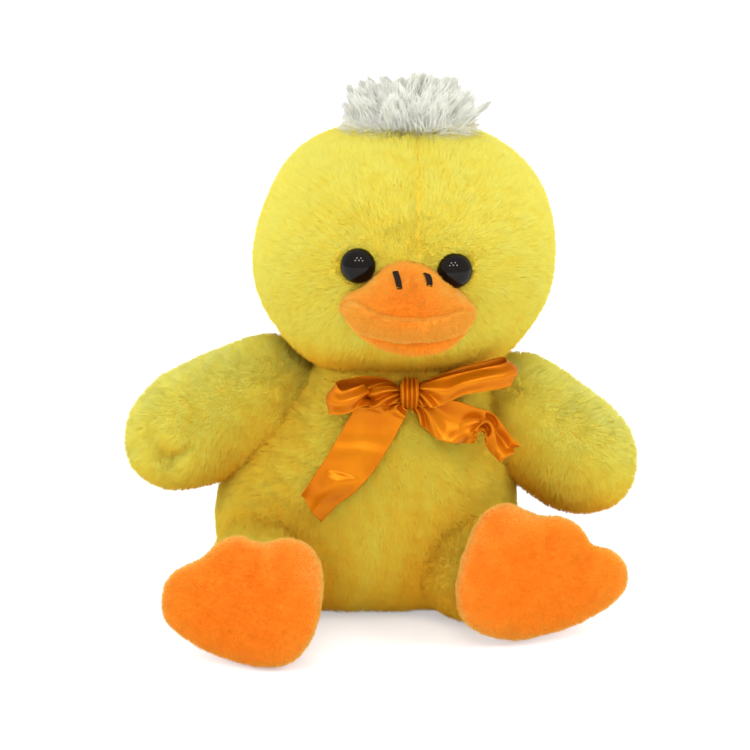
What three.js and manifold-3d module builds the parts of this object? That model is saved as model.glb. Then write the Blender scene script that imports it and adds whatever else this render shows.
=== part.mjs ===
import * as THREE from 'three';
import Module from 'manifold-3d';

// A sitting plush duck in millimetres: +Z up, facing -Y, with its own left side at +X.
// The origin is the middle of the flat seat that it rests on.

const wasm = await Module();
wasm.setup();

// Fabric, seams and play
const coverWall = 2;
const seamGap = 0.3;
const fillingGap = 0.7;
const jointGap = 0.6;
const seatSink = 0.5;
const cutOverrun = 4;

// Head: wide from cheek to cheek, round when seen from the side
const headHalfWidth = 51.5;
const headRadius = 44;
const headCentreX = 12;
const headCentreY = -4;
const headSink = 12;
const neckHoleRadius = 13;

// Torso: a pear that leans towards the head's side
const torsoHeight = 92;
const torsoHalfWidth = 52;
const torsoHalfDepth = 40;
const neckForward = 5;
const neckPlugRadius = 16;
const neckPlugHeight = 12;
const pelletBagRadius = 27;
const pelletBagHeight = 17;
const tailRadius = 11;
const tailLength = 24;
const tailHeight = 24;

// Wings: each a stuffed mitten on a round shoulder
const shoulderRadius = 19.5;
const shoulderDrop = 21.5;
const shoulderForward = 5;
const wingLength = 48;
const wingHalfHeight = 21;
const wingHalfDepth = 16.5;
const rightShoulderOut = 36.5;
const leftShoulderOut = 53;
const sleeveHoleRadius = 9;

// Legs and feet: short stubby legs with three-toed feet turned up
const hipRadius = 18.5;
const hipHeight = 18.8;
const rightHipOut = 35.5;
const rightHipForward = 29;
const leftHipOut = 36;
const leftHipForward = 30;
const ankleRadius = 15;
const ankleHoleRadius = 7;
const footHalfWidth = 28;
const footHalfThickness = 9;
const rightFootOut = 40;
const rightFootForward = 67;
const rightFootHeight = 22;
const leftFootOut = 57.5;
const leftFootForward = 46;
const leftFootHeight = 25;

// Face
const eyeRadius = 5.8;
const eyeHeight = 4.6;
const eyeShankRadius = 1.7;
const eyeShankLength = 9;
const washerRadius = 6.5;
const washerThickness = 1.5;
const beakWall = 1.5;
const upperBeakHalfWidth = 21;
const upperBeakHalfLength = 13.5;
const upperBeakHalfThickness = 5.2;
const upperBeakOut = 9.5;
const upperBeakRise = 6;
const lowerBeakHalfWidth = 15.5;
const lowerBeakHalfLength = 10;
const lowerBeakHalfThickness = 4;
const lowerBeakOut = 6;
const lowerBeakDrop = 8.5;
const nostrilLength = 6;
const nostrilRadius = 0.7;
const tuftHalfWidth = 20;
const tuftHalfDepth = 11;
const tuftBaseHeight = 18;
const lockLength = 14.5;
const lockRadius = 4;

// Ribbon
const ribbonWidth = 12.7;
const ribbonThickness = 0.8;
const bandHeight = 3;
const bandThickness = 0.9;
const knotHalfWidth = 3.4;
const knotHalfHeight = 4.4;
const knotHalfDepth = 2.8;

// How far each joint turns, and how the features of the face stand
const wingRangeDegrees = { right: [-10, 20], left: [-2, 20] };
const legRangeDegrees = [-8, 25];
const faceTurnDegrees = 3;
const beakLiftDegrees = -14;
const rightEyeLiftDegrees = 6.6;
const leftEyeLiftDegrees = 4.4;
const upperBeakSlopeDegrees = 44;
const lowerBeakSlopeDegrees = 24;
const rightFootSplayDegrees = -14;
const leftFootSplayDegrees = 16;
const footTiltDegrees = 8;

// Counts and roundness
const roundSides = 24;
const limbSides = 16;
const coreSides = 12;
const smallSides = 10;
const headPower = 2.4;
const torsoPower = 2.2;
const pillowPower = 2.4;

const degree = Math.PI / 180;
const vector = (x, y, z) => new THREE.Vector3(x, y, z);
const headCentre = vector(headCentreX, headCentreY, torsoHeight - headSink + headRadius);

// A closed form from rings of points, with a pole at each end

function volumeOf(points, faces) {
  const cross = new THREE.Vector3();
  let volume = 0;
  for (const [a, b, c] of faces) {
    volume += cross.crossVectors(points[a], points[b]).dot(points[c]);
  }
  return volume;
}

function solidFrom(points, faces) {
  const outward = volumeOf(points, faces) > 0;
  const triVerts = faces.flatMap(([a, b, c]) => (outward ? [a, b, c] : [a, c, b]));
  const vertProperties = points.flatMap((point) => point.toArray());
  return new wasm.Manifold(new wasm.Mesh({
    numProp: 3,
    vertProperties: Float32Array.from(vertProperties),
    triVerts: Uint32Array.from(triVerts),
  }));
}

function skinOver(rings, firstPole, lastPole) {
  const sides = rings[0].length;
  const points = [firstPole, ...rings.flat(), lastPole];
  const last = points.length - 1;
  const faces = [];
  for (let side = 0; side < sides; side += 1) {
    const next = (side + 1) % sides;
    faces.push([0, 1 + next, 1 + side]);
    faces.push([last, last - sides + side, last - sides + next]);
    for (let ring = 0; ring + 1 < rings.length; ring += 1) {
      const low = 1 + ring * sides;
      const high = low + sides;
      faces.push([low + side, low + next, high + next]);
      faces.push([low + side, high + next, high + side]);
    }
  }
  return solidFrom(points, faces);
}

const bend = (value, power) => Math.sign(value) * Math.abs(value) ** (2 / power);

function ovalRing(centre, across, up, halfAcross, halfUp, power, sides) {
  return Array.from({ length: sides }, (_, side) => {
    const angle = (2 * Math.PI * side) / sides;
    return centre.clone()
      .addScaledVector(across, halfAcross * bend(Math.cos(angle), power))
      .addScaledVector(up, halfUp * bend(Math.sin(angle), power));
  });
}

// A wide ball: half length along one axis, round about that axis
function wideBall(centre, axis, across, halfLength, radius, power, sides, ringCount) {
  const up = vector(0, 0, 0).crossVectors(axis, across);
  const rings = [];
  for (let ring = 1; ring < ringCount; ring += 1) {
    const angle = Math.PI * (ring / ringCount - 1 / 2);
    const middle = centre.clone().addScaledVector(axis, halfLength * bend(Math.sin(angle), power));
    const reach = radius * bend(Math.cos(angle), power);
    rings.push(ovalRing(middle, across, up, reach, reach, 2, sides));
  }
  return skinOver(
    rings,
    centre.clone().addScaledVector(axis, -halfLength),
    centre.clone().addScaledVector(axis, halfLength),
  );
}

function ball(centre, radius, sides = limbSides) {
  return wideBall(centre, vector(0, 0, 1), vector(1, 0, 0), radius, radius, 2, sides, sides / 2);
}

// A round bar between two points
function bar(start, end, startRadius, endRadius, sides = smallSides) {
  const axis = end.clone().sub(start).normalize();
  const across = vector(0, 0, 0).crossVectors(axis, Math.abs(axis.z) < 1 / 2
    ? vector(0, 0, 1) : vector(1, 0, 0)).normalize();
  const up = vector(0, 0, 0).crossVectors(axis, across);
  return skinOver([
    ovalRing(start, across, up, startRadius, startRadius, 2, sides),
    ovalRing(end, across, up, endRadius, endRadius, 2, sides),
  ], start, end);
}

function box(low, high) {
  const size = high.clone().sub(low);
  const middle = low.clone().add(high).multiplyScalar(1 / 2);
  const position = new THREE.BoxGeometry(size.x, size.y, size.z)
    .translate(middle.x, middle.y, middle.z).getAttribute('position');
  const corners = new Map();
  const points = [];
  const order = [];
  for (let index = 0; index < position.count; index += 1) {
    const corner = vector(0, 0, 0).fromBufferAttribute(position, index);
    const key = corner.toArray().join(' ');
    if (!corners.has(key)) {
      corners.set(key, points.length);
      points.push(corner);
    }
    order.push(corners.get(key));
  }
  const faces = [];
  const index = new THREE.BoxGeometry(size.x, size.y, size.z).getIndex();
  for (let start = 0; start < index.count; start += 3) {
    faces.push([0, 1, 2].map((step) => order[index.getX(start + step)]));
  }
  return solidFrom(points, faces);
}

function turned(solid, pivot, axis, degrees) {
  const matrix = new THREE.Matrix4().makeTranslation(pivot.x, pivot.y, pivot.z)
    .multiply(new THREE.Matrix4().makeRotationAxis(axis, degrees * degree))
    .multiply(new THREE.Matrix4().makeTranslation(-pivot.x, -pivot.y, -pivot.z));
  return solid.transform(matrix.elements);
}

const floorCut = box(
  vector(-torsoHeight * 2, -torsoHeight * 2, -torsoHeight),
  vector(torsoHeight * 2, torsoHeight * 2, 0),
);

// Head forms

const headForm = (inset, sides = roundSides) => wideBall(
  headCentre, vector(1, 0, 0), vector(0, 1, 0),
  headHalfWidth - inset, headRadius - inset, headPower, sides, sides / 2,
);

// The room that the head needs as it turns from side to side
const headRoom = (gap) => wideBall(
  headCentre, vector(0, 0, 1), vector(1, 0, 0),
  headRadius + gap, headHalfWidth + gap, headPower, roundSides, roundSides / 2,
);

function headReach(sideways) {
  const share = Math.min(1, Math.abs(sideways) / headHalfWidth);
  return headRadius * (1 - share ** headPower) ** (1 / headPower);
}

// A point on the head's cover and the direction in which it faces
function onHead(sideways, lift) {
  const step = headHalfWidth / 100;
  const reach = headReach(sideways);
  const slope = (headReach(sideways + step) - headReach(sideways - step)) / (2 * step);
  const radial = vector(0, -Math.cos(lift * degree), Math.sin(lift * degree));
  return {
    point: headCentre.clone().add(vector(sideways, 0, 0)).addScaledVector(radial, reach),
    facing: radial.clone().addScaledVector(vector(1, 0, 0), -slope).normalize(),
  };
}

// Torso forms

// Each row: height, half width, half depth, lean to the head's side, set forward
const torsoShares = [
  [0, 0.64, 0.58, 0, 0],
  [0.03, 0.76, 0.7, 0, 0],
  [0.08, 0.88, 0.82, -0.02, 0],
  [0.17, 0.965, 0.93, -0.05, 0],
  [0.34, 1, 1, -0.08, 0.05],
  [0.53, 0.92, 0.98, 0.1, 0.3],
  [0.65, 0.83, 0.93, 0.35, 0.5],
  [0.76, 0.735, 0.85, 0.6, 0.75],
  [0.815, 0.68, 0.8, 0.78, 0.9],
  [0.846, 0.575, 0.75, 0.85, 1],
  [0.868, 0.53, 0.72, 0.88, 1],
  [1, 0.52, 0.7, 1, 1],
];

function torsoForm(inset, sides = roundSides) {
  const ring = ([height, width, depth, lean, forward]) => ovalRing(
    vector(headCentreX * lean, -neckForward * forward, inset + (torsoHeight - inset) * height),
    vector(1, 0, 0), vector(0, 1, 0),
    torsoHalfWidth * width - inset, torsoHalfDepth * depth - inset, torsoPower, sides,
  );
  const rings = torsoShares.map(ring);
  const [, , , topLean] = torsoShares.at(-1);
  return skinOver(
    rings,
    vector(0, 0, inset - seatSink),
    vector(headCentreX * topLean, -neckForward, torsoHeight + seatSink),
  );
}

// Limb forms: a round root, then rows of distance along, half height and half depth

function limbFrame(root, tip) {
  const along = tip.clone().sub(root).normalize();
  const across = vector(0, 0, 0).crossVectors(vector(0, 0, 1), along).normalize();
  return { along, across, up: vector(0, 0, 0).crossVectors(along, across) };
}

function limbRings(root, tip, rows, inset, sides) {
  const { along, across, up } = limbFrame(root, tip);
  const length = tip.distanceTo(root) - inset;
  return rows.map(([distance, halfHeight, halfDepth]) => ovalRing(
    root.clone().addScaledVector(along, length * distance),
    across, up, halfDepth - inset, halfHeight - inset, 2, sides,
  ));
}

function limbForm(root, tip, rootRadius, rows, inset, sides) {
  const { along, across, up } = limbFrame(root, tip);
  const rootRings = 3;
  const rings = [];
  for (let ring = 1; ring <= rootRings; ring += 1) {
    const angle = (Math.PI / 2) * (1 - ring / rootRings);
    const middle = root.clone().addScaledVector(along, -(rootRadius - inset) * Math.sin(angle));
    const reach = (rootRadius - inset) * Math.cos(angle);
    rings.push(ovalRing(middle, across, up, reach, reach, 2, sides));
  }
  return skinOver(
    [...rings, ...limbRings(root, tip, rows, inset, sides)],
    root.clone().addScaledVector(along, inset - rootRadius),
    tip.clone().addScaledVector(along, -inset),
  );
}

// The room for a limb that turns about the middle of its round root
function limbRoom(root, tip, rootRadius, rows, axis, rangeDegrees) {
  const grow = (radius) => (radius + jointGap) / Math.cos(Math.PI / coreSides) ** 2;
  const grownRows = [[0, rootRadius, rootRadius], ...rows].map(([distance, halfHeight, halfDepth]) => (
    [distance, grow(halfHeight), grow(halfDepth)]
  ));
  const arm = skinOver(limbRings(root, tip, grownRows, 0, coreSides), root, tip);
  return [...rangeDegrees, 0].reduce(
    (room, degrees) => room.add(turned(arm, root, axis, degrees)),
    ball(root, grow(rootRadius), coreSides),
  );
}

// Each row: distance along the wing, half height, half depth
const wingShares = [
  [0.2, 0.98, 1.06],
  [0.42, 1.02, 1.04],
  [0.62, 1, 1],
  [0.78, 0.88, 0.88],
  [0.9, 0.66, 0.68],
  [0.97, 0.4, 0.42],
];

const wings = {
  right: {
    root: vector(-rightShoulderOut, -shoulderForward, torsoHeight - shoulderDrop),
    direction: vector(-0.95, -0.2, -0.26).normalize(),
    axis: vector(0, 1, 0),
    rangeDegrees: wingRangeDegrees.right,
  },
  left: {
    root: vector(leftShoulderOut, -shoulderForward, torsoHeight - shoulderDrop),
    direction: vector(0.77, -0.2, -0.6).normalize(),
    axis: vector(0, -1, 0),
    rangeDegrees: wingRangeDegrees.left,
  },
};

const wingRows = wingShares.map(([distance, height, depth]) => (
  [distance, wingHalfHeight * height, wingHalfDepth * depth]
));
for (const wing of Object.values(wings)) {
  wing.tip = wing.root.clone().addScaledVector(wing.direction, wingLength);
}
const wingForm = ({ root, tip }, inset, sides = limbSides) => (
  limbForm(root, tip, shoulderRadius, wingRows, inset, sides)
);

const legs = {
  right: {
    root: vector(-rightHipOut, -rightHipForward, hipHeight),
    foot: vector(-rightFootOut, -rightFootForward, rightFootHeight),
    splayDegrees: rightFootSplayDegrees,
  },
  left: {
    root: vector(leftHipOut, -leftHipForward, hipHeight),
    foot: vector(leftFootOut, -leftFootForward, leftFootHeight),
    splayDegrees: leftFootSplayDegrees,
  },
};

for (const leg of Object.values(legs)) {
  const flat = leg.foot.clone().sub(leg.root).setZ(0).normalize();
  leg.axis = vector(0, 0, 0).crossVectors(flat, vector(0, 0, 1));
}

const legRows = [0.3, 0.65, 0.95].map((distance) => {
  const radius = hipRadius + (ankleRadius - hipRadius) * distance;
  return [distance, radius, radius];
});
const legForm = ({ root, foot }, inset, sides = limbSides) => (
  limbForm(root, foot, hipRadius, legRows, inset, sides)
);

// Outlines of the feet seen on their soles, clockwise from a toe, in shares of half the width
const footOutlineShares = {
  right: [
    [-1.02, 0.02], [-0.88, 0.29], [-0.55, 0.47], [-0.33, 0.7], [-0.1, 0.77], [0.17, 0.7],
    [0.5, 0.8], [0.8, 0.7], [0.95, 0.38], [0.94, -0.08], [0.8, -0.45], [0.6, -0.7],
    [0.28, -0.8], [-0.12, -0.74], [-0.5, -0.58], [-0.88, -0.28],
  ],
  left: [
    [-0.42, 0.86], [0.02, 0.68], [0.33, 0.66], [0.58, 0.5], [0.7, 0.27], [0.96, 0.22],
    [1.13, -0.04], [1.08, -0.3], [0.82, -0.52], [0.39, -0.7], [-0.07, -0.8], [-0.48, -0.82],
    [-0.86, -0.7], [-1.06, -0.46], [-1.08, -0.1], [-0.96, 0.3], [-0.75, 0.7],
  ],
};

function footFrame({ splayDegrees }) {
  const splay = splayDegrees * degree;
  const tilt = footTiltDegrees * degree;
  const across = vector(Math.cos(splay), Math.sin(splay), 0);
  const facing = vector(Math.sin(splay), -Math.cos(splay), 0)
    .multiplyScalar(Math.cos(tilt)).setZ(Math.sin(tilt));
  return { across, facing, up: vector(0, 0, 0).crossVectors(facing, across) };
}

function footForm(side, inset) {
  const { across, facing, up } = footFrame(legs[side]);
  const corners = footOutlineShares[side].map(([x, y]) => vector(x, y, 0));
  const outline = new THREE.CatmullRomCurve3(corners, true).getPoints(roundSides).slice(1);
  const ringCount = 6;
  const half = footHalfThickness - inset;
  const rings = [];
  for (let ring = 1; ring < ringCount; ring += 1) {
    const angle = Math.PI * (ring / ringCount - 1 / 2);
    const spread = bend(Math.cos(angle), pillowPower) * (footHalfWidth - inset);
    const middle = legs[side].foot.clone()
      .addScaledVector(facing, half * bend(Math.sin(angle), pillowPower));
    rings.push(outline.map(({ x, y }) => middle.clone()
      .addScaledVector(across, spread * x).addScaledVector(up, spread * y)));
  }
  return skinOver(
    rings,
    legs[side].foot.clone().addScaledVector(facing, -half),
    legs[side].foot.clone().addScaledVector(facing, half),
  );
}

// Beak forms: rings across the face that shrink to a corner at each side

const beakMiddle = onHead(headHalfWidth * 0.03, beakLiftDegrees).point;
const faceTurn = faceTurnDegrees * degree;
const upperBeakSlope = upperBeakSlopeDegrees * degree;
const lowerBeakSlope = lowerBeakSlopeDegrees * degree;

const downSlope = (slope) => vector(0, -Math.cos(slope), -Math.sin(slope));
const offSlope = (slope) => vector(0, -Math.sin(slope), Math.cos(slope));

function billForm({ halfWidth, halfLength, halfThickness, out, rise, slope }, inset) {
  const across = vector(Math.cos(faceTurn), 0, -Math.sin(faceTurn));
  const ringCount = 9;
  const middles = [];
  const rings = [];
  for (let ring = 1; ring < ringCount; ring += 1) {
    const angle = Math.PI * (ring / ringCount - 1 / 2);
    const swell = Math.cos(angle);
    const arch = swell ** 1.4;
    const back = headRadius - headReach(halfWidth * Math.sin(angle));
    const middle = beakMiddle.clone()
      .addScaledVector(across, halfWidth * Math.sin(angle))
      .add(vector(0, back - out * swell, rise * arch));
    const thickness = halfThickness * swell ** (2 / 3) - inset;
    if (thickness > inset / 4) {
      middles.push(middle);
      rings.push(ovalRing(
        middle, downSlope(slope), offSlope(slope),
        halfLength * arch - inset, thickness, pillowPower, coreSides,
      ));
    }
  }
  const end = (way) => beakMiddle.clone().addScaledVector(across, way * halfWidth)
    .add(vector(0, headRadius - headReach(halfWidth), 0));
  const reach = inset > 0 ? 1 / 4 : 1;
  return skinOver(rings, middles[0].lerp(end(-1), reach), middles.at(-1).lerp(end(1), reach));
}

const upperBeak = {
  halfWidth: upperBeakHalfWidth,
  halfLength: upperBeakHalfLength,
  halfThickness: upperBeakHalfThickness,
  out: upperBeakOut,
  rise: upperBeakRise,
  slope: upperBeakSlope,
};
const lowerBeak = {
  halfWidth: lowerBeakHalfWidth,
  halfLength: lowerBeakHalfLength,
  halfThickness: lowerBeakHalfThickness,
  out: lowerBeakOut,
  rise: -lowerBeakDrop,
  slope: lowerBeakSlope,
};
const upperBeakForm = (inset) => billForm(upperBeak, inset);
const lowerBeakForm = (inset) => billForm(lowerBeak, inset);

// Eyes: each a glossy dome on a shank, locked by a washer inside the cover

const eyePlaces = {
  right: onHead(-headHalfWidth * 0.295, rightEyeLiftDegrees),
  left: onHead(headHalfWidth * 0.315, leftEyeLiftDegrees),
};

function eyeDome({ point, facing }, grow) {
  const base = point.clone().addScaledVector(facing, seamGap - grow);
  const across = vector(0, 0, 0).crossVectors(facing, vector(0, 0, 1)).normalize();
  const up = vector(0, 0, 0).crossVectors(across, facing);
  const height = eyeHeight + 2 * grow;
  const ringCount = 6;
  const rings = [];
  for (let ring = 0; ring < ringCount; ring += 1) {
    const angle = (Math.PI / 2) * (ring / ringCount);
    const middle = base.clone().addScaledVector(facing, height * Math.sin(angle));
    const reach = (eyeRadius + grow) * Math.cos(angle);
    rings.push(ovalRing(middle, across, up, reach, reach, 2, limbSides));
  }
  return skinOver(rings, base, base.clone().addScaledVector(facing, height));
}

function eyeSolid(place) {
  const { point, facing } = place;
  return eyeDome(place, 0).add(bar(
    point.clone().addScaledVector(facing, -eyeShankLength),
    point.clone().addScaledVector(facing, eyeHeight / 2),
    eyeShankRadius, eyeShankRadius,
  ));
}

function shankRoom({ point, facing }) {
  return bar(
    point.clone().addScaledVector(facing, -eyeShankLength - cutOverrun),
    point.clone().addScaledVector(facing, cutOverrun),
    eyeShankRadius + seamGap, eyeShankRadius + seamGap,
  );
}

function washerFaces({ point, facing }) {
  const sagitta = washerRadius ** 2 / (2 * (headRadius - coverWall));
  const flats = headRadius * (1 - Math.cos(Math.PI / roundSides) ** 2);
  const outer = point.clone().addScaledVector(facing, -coverWall - sagitta - flats - seamGap);
  return { outer, inner: outer.clone().addScaledVector(facing, -washerThickness) };
}

function washerForm(place) {
  const { outer, inner } = washerFaces(place);
  return bar(inner, outer, washerRadius, washerRadius, limbSides);
}

function washerRoom(place) {
  const { inner } = washerFaces(place);
  const low = inner.clone().addScaledVector(place.facing, -seamGap);
  const radius = washerRadius + seamGap;
  return bar(low, place.point, radius, radius, limbSides);
}

// Nostrils: two short stitches on the beak's top

// Each row: place across the beak, place down its slope, length, tilt in degrees
const nostrilShares = { right: [-0.195, -0.16, 1, -6], left: [0.276, -0.14, 0.75, 8] };

function nostrilSolid([across, down, length, lean]) {
  const middle = beakMiddle.clone()
    .add(vector(upperBeakHalfWidth * across, -upperBeakOut, upperBeakRise))
    .addScaledVector(downSlope(upperBeakSlope), upperBeakHalfLength * down)
    .addScaledVector(offSlope(upperBeakSlope), upperBeakHalfThickness + nostrilRadius / 2);
  const along = downSlope(upperBeakSlope)
    .addScaledVector(vector(1, 0, 0), Math.sin(lean * degree)).normalize();
  const half = (nostrilLength * length) / 2;
  return bar(
    middle.clone().addScaledVector(along, -half), middle.clone().addScaledVector(along, half),
    nostrilRadius, nostrilRadius,
  );
}

// Hair tuft: a low mound with tapered locks that fan out of it

// Each row: place across, place in depth, lean sideways, lean in depth, length
const lockShares = [
  [-0.9, 0, -1, 0, 0.8], [-0.7, 0.4, -0.8, 0.3, 0.9], [-0.65, -0.4, -0.75, -0.4, 0.9],
  [-0.4, 0, -0.45, 0.05, 1.05], [-0.25, 0.6, -0.3, 0.5, 0.95], [-0.2, -0.6, -0.2, -0.6, 0.9],
  [0, 0.1, -0.05, 0, 1.15], [0.2, 0.6, 0.2, 0.5, 1], [0.2, -0.6, 0.25, -0.5, 0.95],
  [0.4, 0, 0.35, 0, 1.1], [0.65, 0.35, 0.7, 0.3, 1], [0.7, -0.4, 0.75, -0.3, 0.9],
  [0.9, 0, 1, 0.05, 0.85],
];

const tuftTop = onHead(headHalfWidth * 0.04, 90).point;

function tuftSolid() {
  let solid = skinOver(
    [0, 1, 2, 3].map((ring) => {
      const angle = (Math.PI / 2) * (ring / 4);
      const middle = tuftTop.clone().add(vector(0, 0, tuftBaseHeight * (Math.sin(angle) - 1 / 2)));
      return ovalRing(middle, vector(1, 0, 0), vector(0, 1, 0),
        tuftHalfWidth * Math.cos(angle), tuftHalfDepth * Math.cos(angle), 2, limbSides);
    }),
    tuftTop.clone().add(vector(0, 0, -tuftBaseHeight / 2)),
    tuftTop.clone().add(vector(0, 0, tuftBaseHeight / 2)),
  );
  for (const [across, depth, lean, tip, length] of lockShares) {
    const root = tuftTop.clone().add(
      vector(tuftHalfWidth * across * 0.8, tuftHalfDepth * depth * 0.8, 0),
    );
    const direction = vector(lean, tip, 1).normalize();
    const end = root.clone().addScaledVector(direction, lockLength * length);
    solid = solid.add(bar(root, end, lockRadius, lockRadius / 5, 5));
  }
  return solid.subtract(headForm(-seamGap));
}

// Ribbon: a band round the neck, a knot, two loops and two tails

const [neckShare, neckWidthShare, neckDepthShare, neckLeanShare] = torsoShares.at(-2);
const neckLow = torsoHeight * neckShare;
const neckHalfWidth = torsoHalfWidth * neckWidthShare;
const neckHalfDepth = torsoHalfDepth * neckDepthShare;
const neckCentre = (height) => vector(headCentreX * neckLeanShare, -neckForward, height);
const knotCentre = neckCentre(neckLow + bandHeight + knotHalfHeight / 4).add(vector(
  knotHalfWidth, -neckHalfDepth - bandThickness - 2 * seamGap - knotHalfDepth, 0,
));

function neckBandSolid() {
  const oval = (grow, height) => ovalRing(
    neckCentre(height), vector(1, 0, 0), vector(0, 1, 0),
    neckHalfWidth + grow, neckHalfDepth + grow, torsoPower, roundSides,
  );
  const wall = (grow, low, high) => skinOver(
    [oval(grow, low), oval(grow, high)], neckCentre(low), neckCentre(high),
  );
  const low = neckLow + seamGap;
  const high = low + bandHeight;
  return wall(seamGap + bandThickness, low, high)
    .subtract(wall(seamGap, low - cutOverrun, high + cutOverrun));
}

// A flat strip between two edges
function strip(upperEdge, lowerEdge) {
  const thick = ribbonThickness / 2;
  const sections = upperEdge.map((upper, index) => {
    const lower = lowerEdge[index];
    const before = upperEdge[Math.max(0, index - 1)].clone().add(lowerEdge[Math.max(0, index - 1)]);
    const following = Math.min(upperEdge.length - 1, index + 1);
    const after = upperEdge[following].clone().add(lowerEdge[following]);
    const along = after.sub(before);
    const normal = vector(0, 0, 0).crossVectors(along, upper.clone().sub(lower)).normalize();
    return [
      upper.clone().addScaledVector(normal, thick), upper.clone().addScaledVector(normal, -thick),
      lower.clone().addScaledVector(normal, -thick), lower.clone().addScaledVector(normal, thick),
    ];
  });
  const middleOf = (corners) => corners
    .reduce((sum, corner) => sum.add(corner), vector(0, 0, 0)).multiplyScalar(1 / 4);
  return skinOver(sections, middleOf(sections[0]), middleOf(sections.at(-1)));
}

// Places from the knot's centre in ribbon widths: the upper edge's across, forward and up,
// then the lower edge's
const ribbonShares = {
  ribbon_left_loop: [
    [0.32, 0.12, 0.3, 0.32, 0.05, -0.15],
    [0.9, 0.42, 0.72, 0.9, 0.22, -0.12],
    [1.7, 0.35, 0.9, 1.7, 0.12, 0],
    [2.45, 0, 1, 2.5, -0.1, 0.15],
    [2.68, -0.16, 1, 2.72, -0.24, 0.2],
    [2.5, -0.32, 1, 2.5, -0.38, 0.2],
    [2.1, -0.2, 0.96, 2.1, -0.3, 0.12],
    [1.7, 0.08, 0.95, 1.7, -0.12, 0.05],
  ],
  ribbon_right_loop: [
    [-0.32, 0.12, 0.3, -0.32, 0.05, -0.2],
    [-0.8, 0.3, 0.5, -0.75, 0.25, -0.3],
    [-1.3, 0.1, 0.45, -1.2, 0.15, -0.4],
    [-1.75, -0.15, 0.2, -1.7, -0.1, -0.6],
    [-1.85, -0.28, 0.15, -1.8, -0.22, -0.62],
    [-1.7, -0.4, 0.2, -1.65, -0.34, -0.55],
    [-1.2, -0.16, 0.4, -1.15, -0.1, -0.4],
  ],
  ribbon_right_tail: [
    [-0.05, 0.1, -0.42, -0.4, 0.1, -0.36],
    [-0.3, 0.15, -1, -1.05, 0.15, -0.7],
    [-0.78, 0.2, -1.9, -1.65, 0.14, -1.35],
    [-1.4, 0.28, -2.75, -2.25, 0.2, -2.1],
    [-2.06, 0.32, -3.38, -2.72, 0.24, -2.7],
  ],
  ribbon_left_tail: [
    [0.4, 0.02, -0.3, 0.1, 0.05, -0.42],
    [1, 0.1, -0.35, 0.7, 0.1, -0.85],
    [1.6, 0, -0.5, 1.3, 0, -1.15],
    [2.1, -0.15, -0.75, 1.75, -0.15, -1.3],
    [2.5, -0.25, -1.1, 2.2, -0.25, -1.65],
    [2.85, -0.3, -1.55, 2.5, -0.3, -2.1],
  ],
};

function ribbonSolid(rows) {
  const place = (across, forward, up) => knotCentre.clone()
    .add(vector(across, -forward, up).multiplyScalar(ribbonWidth));
  return strip(
    rows.map(([across, forward, up]) => place(across, forward, up)),
    rows.map(([, , , across, forward, up]) => place(across, forward, up)),
  );
}

function knotForm(grow) {
  return wideBall(vector(0, 0, 0), vector(0, 0, 1), vector(1, 0, 0), 1, 1, 3, smallSides, 6)
    .scale([knotHalfWidth + grow, knotHalfDepth + grow, knotHalfHeight + grow])
    .translate(knotCentre.toArray());
}

// Rooms that stay free for what turns

const headSpace = headRoom(jointGap);
const wingSpaces = Object.values(wings).map(({ root, tip, axis, rangeDegrees }) => (
  limbRoom(root, tip, shoulderRadius, wingRows, axis, rangeDegrees)
));
const legSpaces = Object.values(legs).map(({ root, foot, axis }) => (
  limbRoom(root, foot, hipRadius, legRows, axis, legRangeDegrees)
));
const neckPlugTop = torsoHeight - headSink;
const neckPlugLow = neckPlugTop - neckPlugHeight;
const onNeckAxis = (height) => vector(headCentreX, headCentreY, height);
const neckPocket = bar(
  onNeckAxis(neckPlugLow - seamGap), onNeckAxis(torsoHeight + cutOverrun),
  neckPlugRadius + jointGap, neckPlugRadius + jointGap, roundSides,
);

const without = (solid, ...cuts) => cuts.flat(2).reduce((left, cut) => left.subtract(cut), solid);

// The duck, one closed solid for each piece

const duck = new THREE.Group();

function addPiece(name, solid, color, roughness) {
  const { vertProperties, triVerts } = solid.getMesh();
  const geometry = new THREE.BufferGeometry();
  geometry.setAttribute('position', new THREE.BufferAttribute(vertProperties, 3));
  geometry.setIndex(new THREE.BufferAttribute(triVerts, 1));
  const material = new THREE.MeshStandardMaterial({ color, roughness, metalness: 0 });
  const piece = new THREE.Mesh(geometry, material);
  piece.name = name;
  duck.add(piece);
}

const plush = ['#e8d54c', 0.95];
const felt = ['#fb8a1e', 0.9];
const satin = ['#d9820f', 0.35];
const filling = ['#f4f2ea', 1];
const gloss = ['#0b0706', 0.1];
const plastic = ['#e9e7e0', 0.5];
const pile = ['#e4e5d2', 0.9];
const thread = ['#1a0d06', 0.7];
const canvas = ['#d8d2c0', 0.95];

const pelletBagForm = (grow) => wideBall(
  vector(0, 0, 0), vector(0, 0, 1), vector(1, 0, 0), 1, 1, 3, coreSides, 6,
)
  .scale([pelletBagRadius + grow, pelletBagRadius + grow, pelletBagHeight / 2 + grow])
  .translate([0, 0, coverWall + fillingGap + pelletBagHeight / 2]);

addPiece('body_cover', without(
  torsoForm(0), torsoForm(coverWall), headSpace, wingSpaces, legSpaces, neckPocket, floorCut,
), ...plush);
addPiece('body_stuffing', without(
  torsoForm(coverWall + fillingGap, roundSides / 2), headSpace, wingSpaces, legSpaces, neckPocket,
  pelletBagForm(fillingGap),
), ...filling);
addPiece('pellet_bag', without(pelletBagForm(0), legSpaces), ...canvas);

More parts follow.
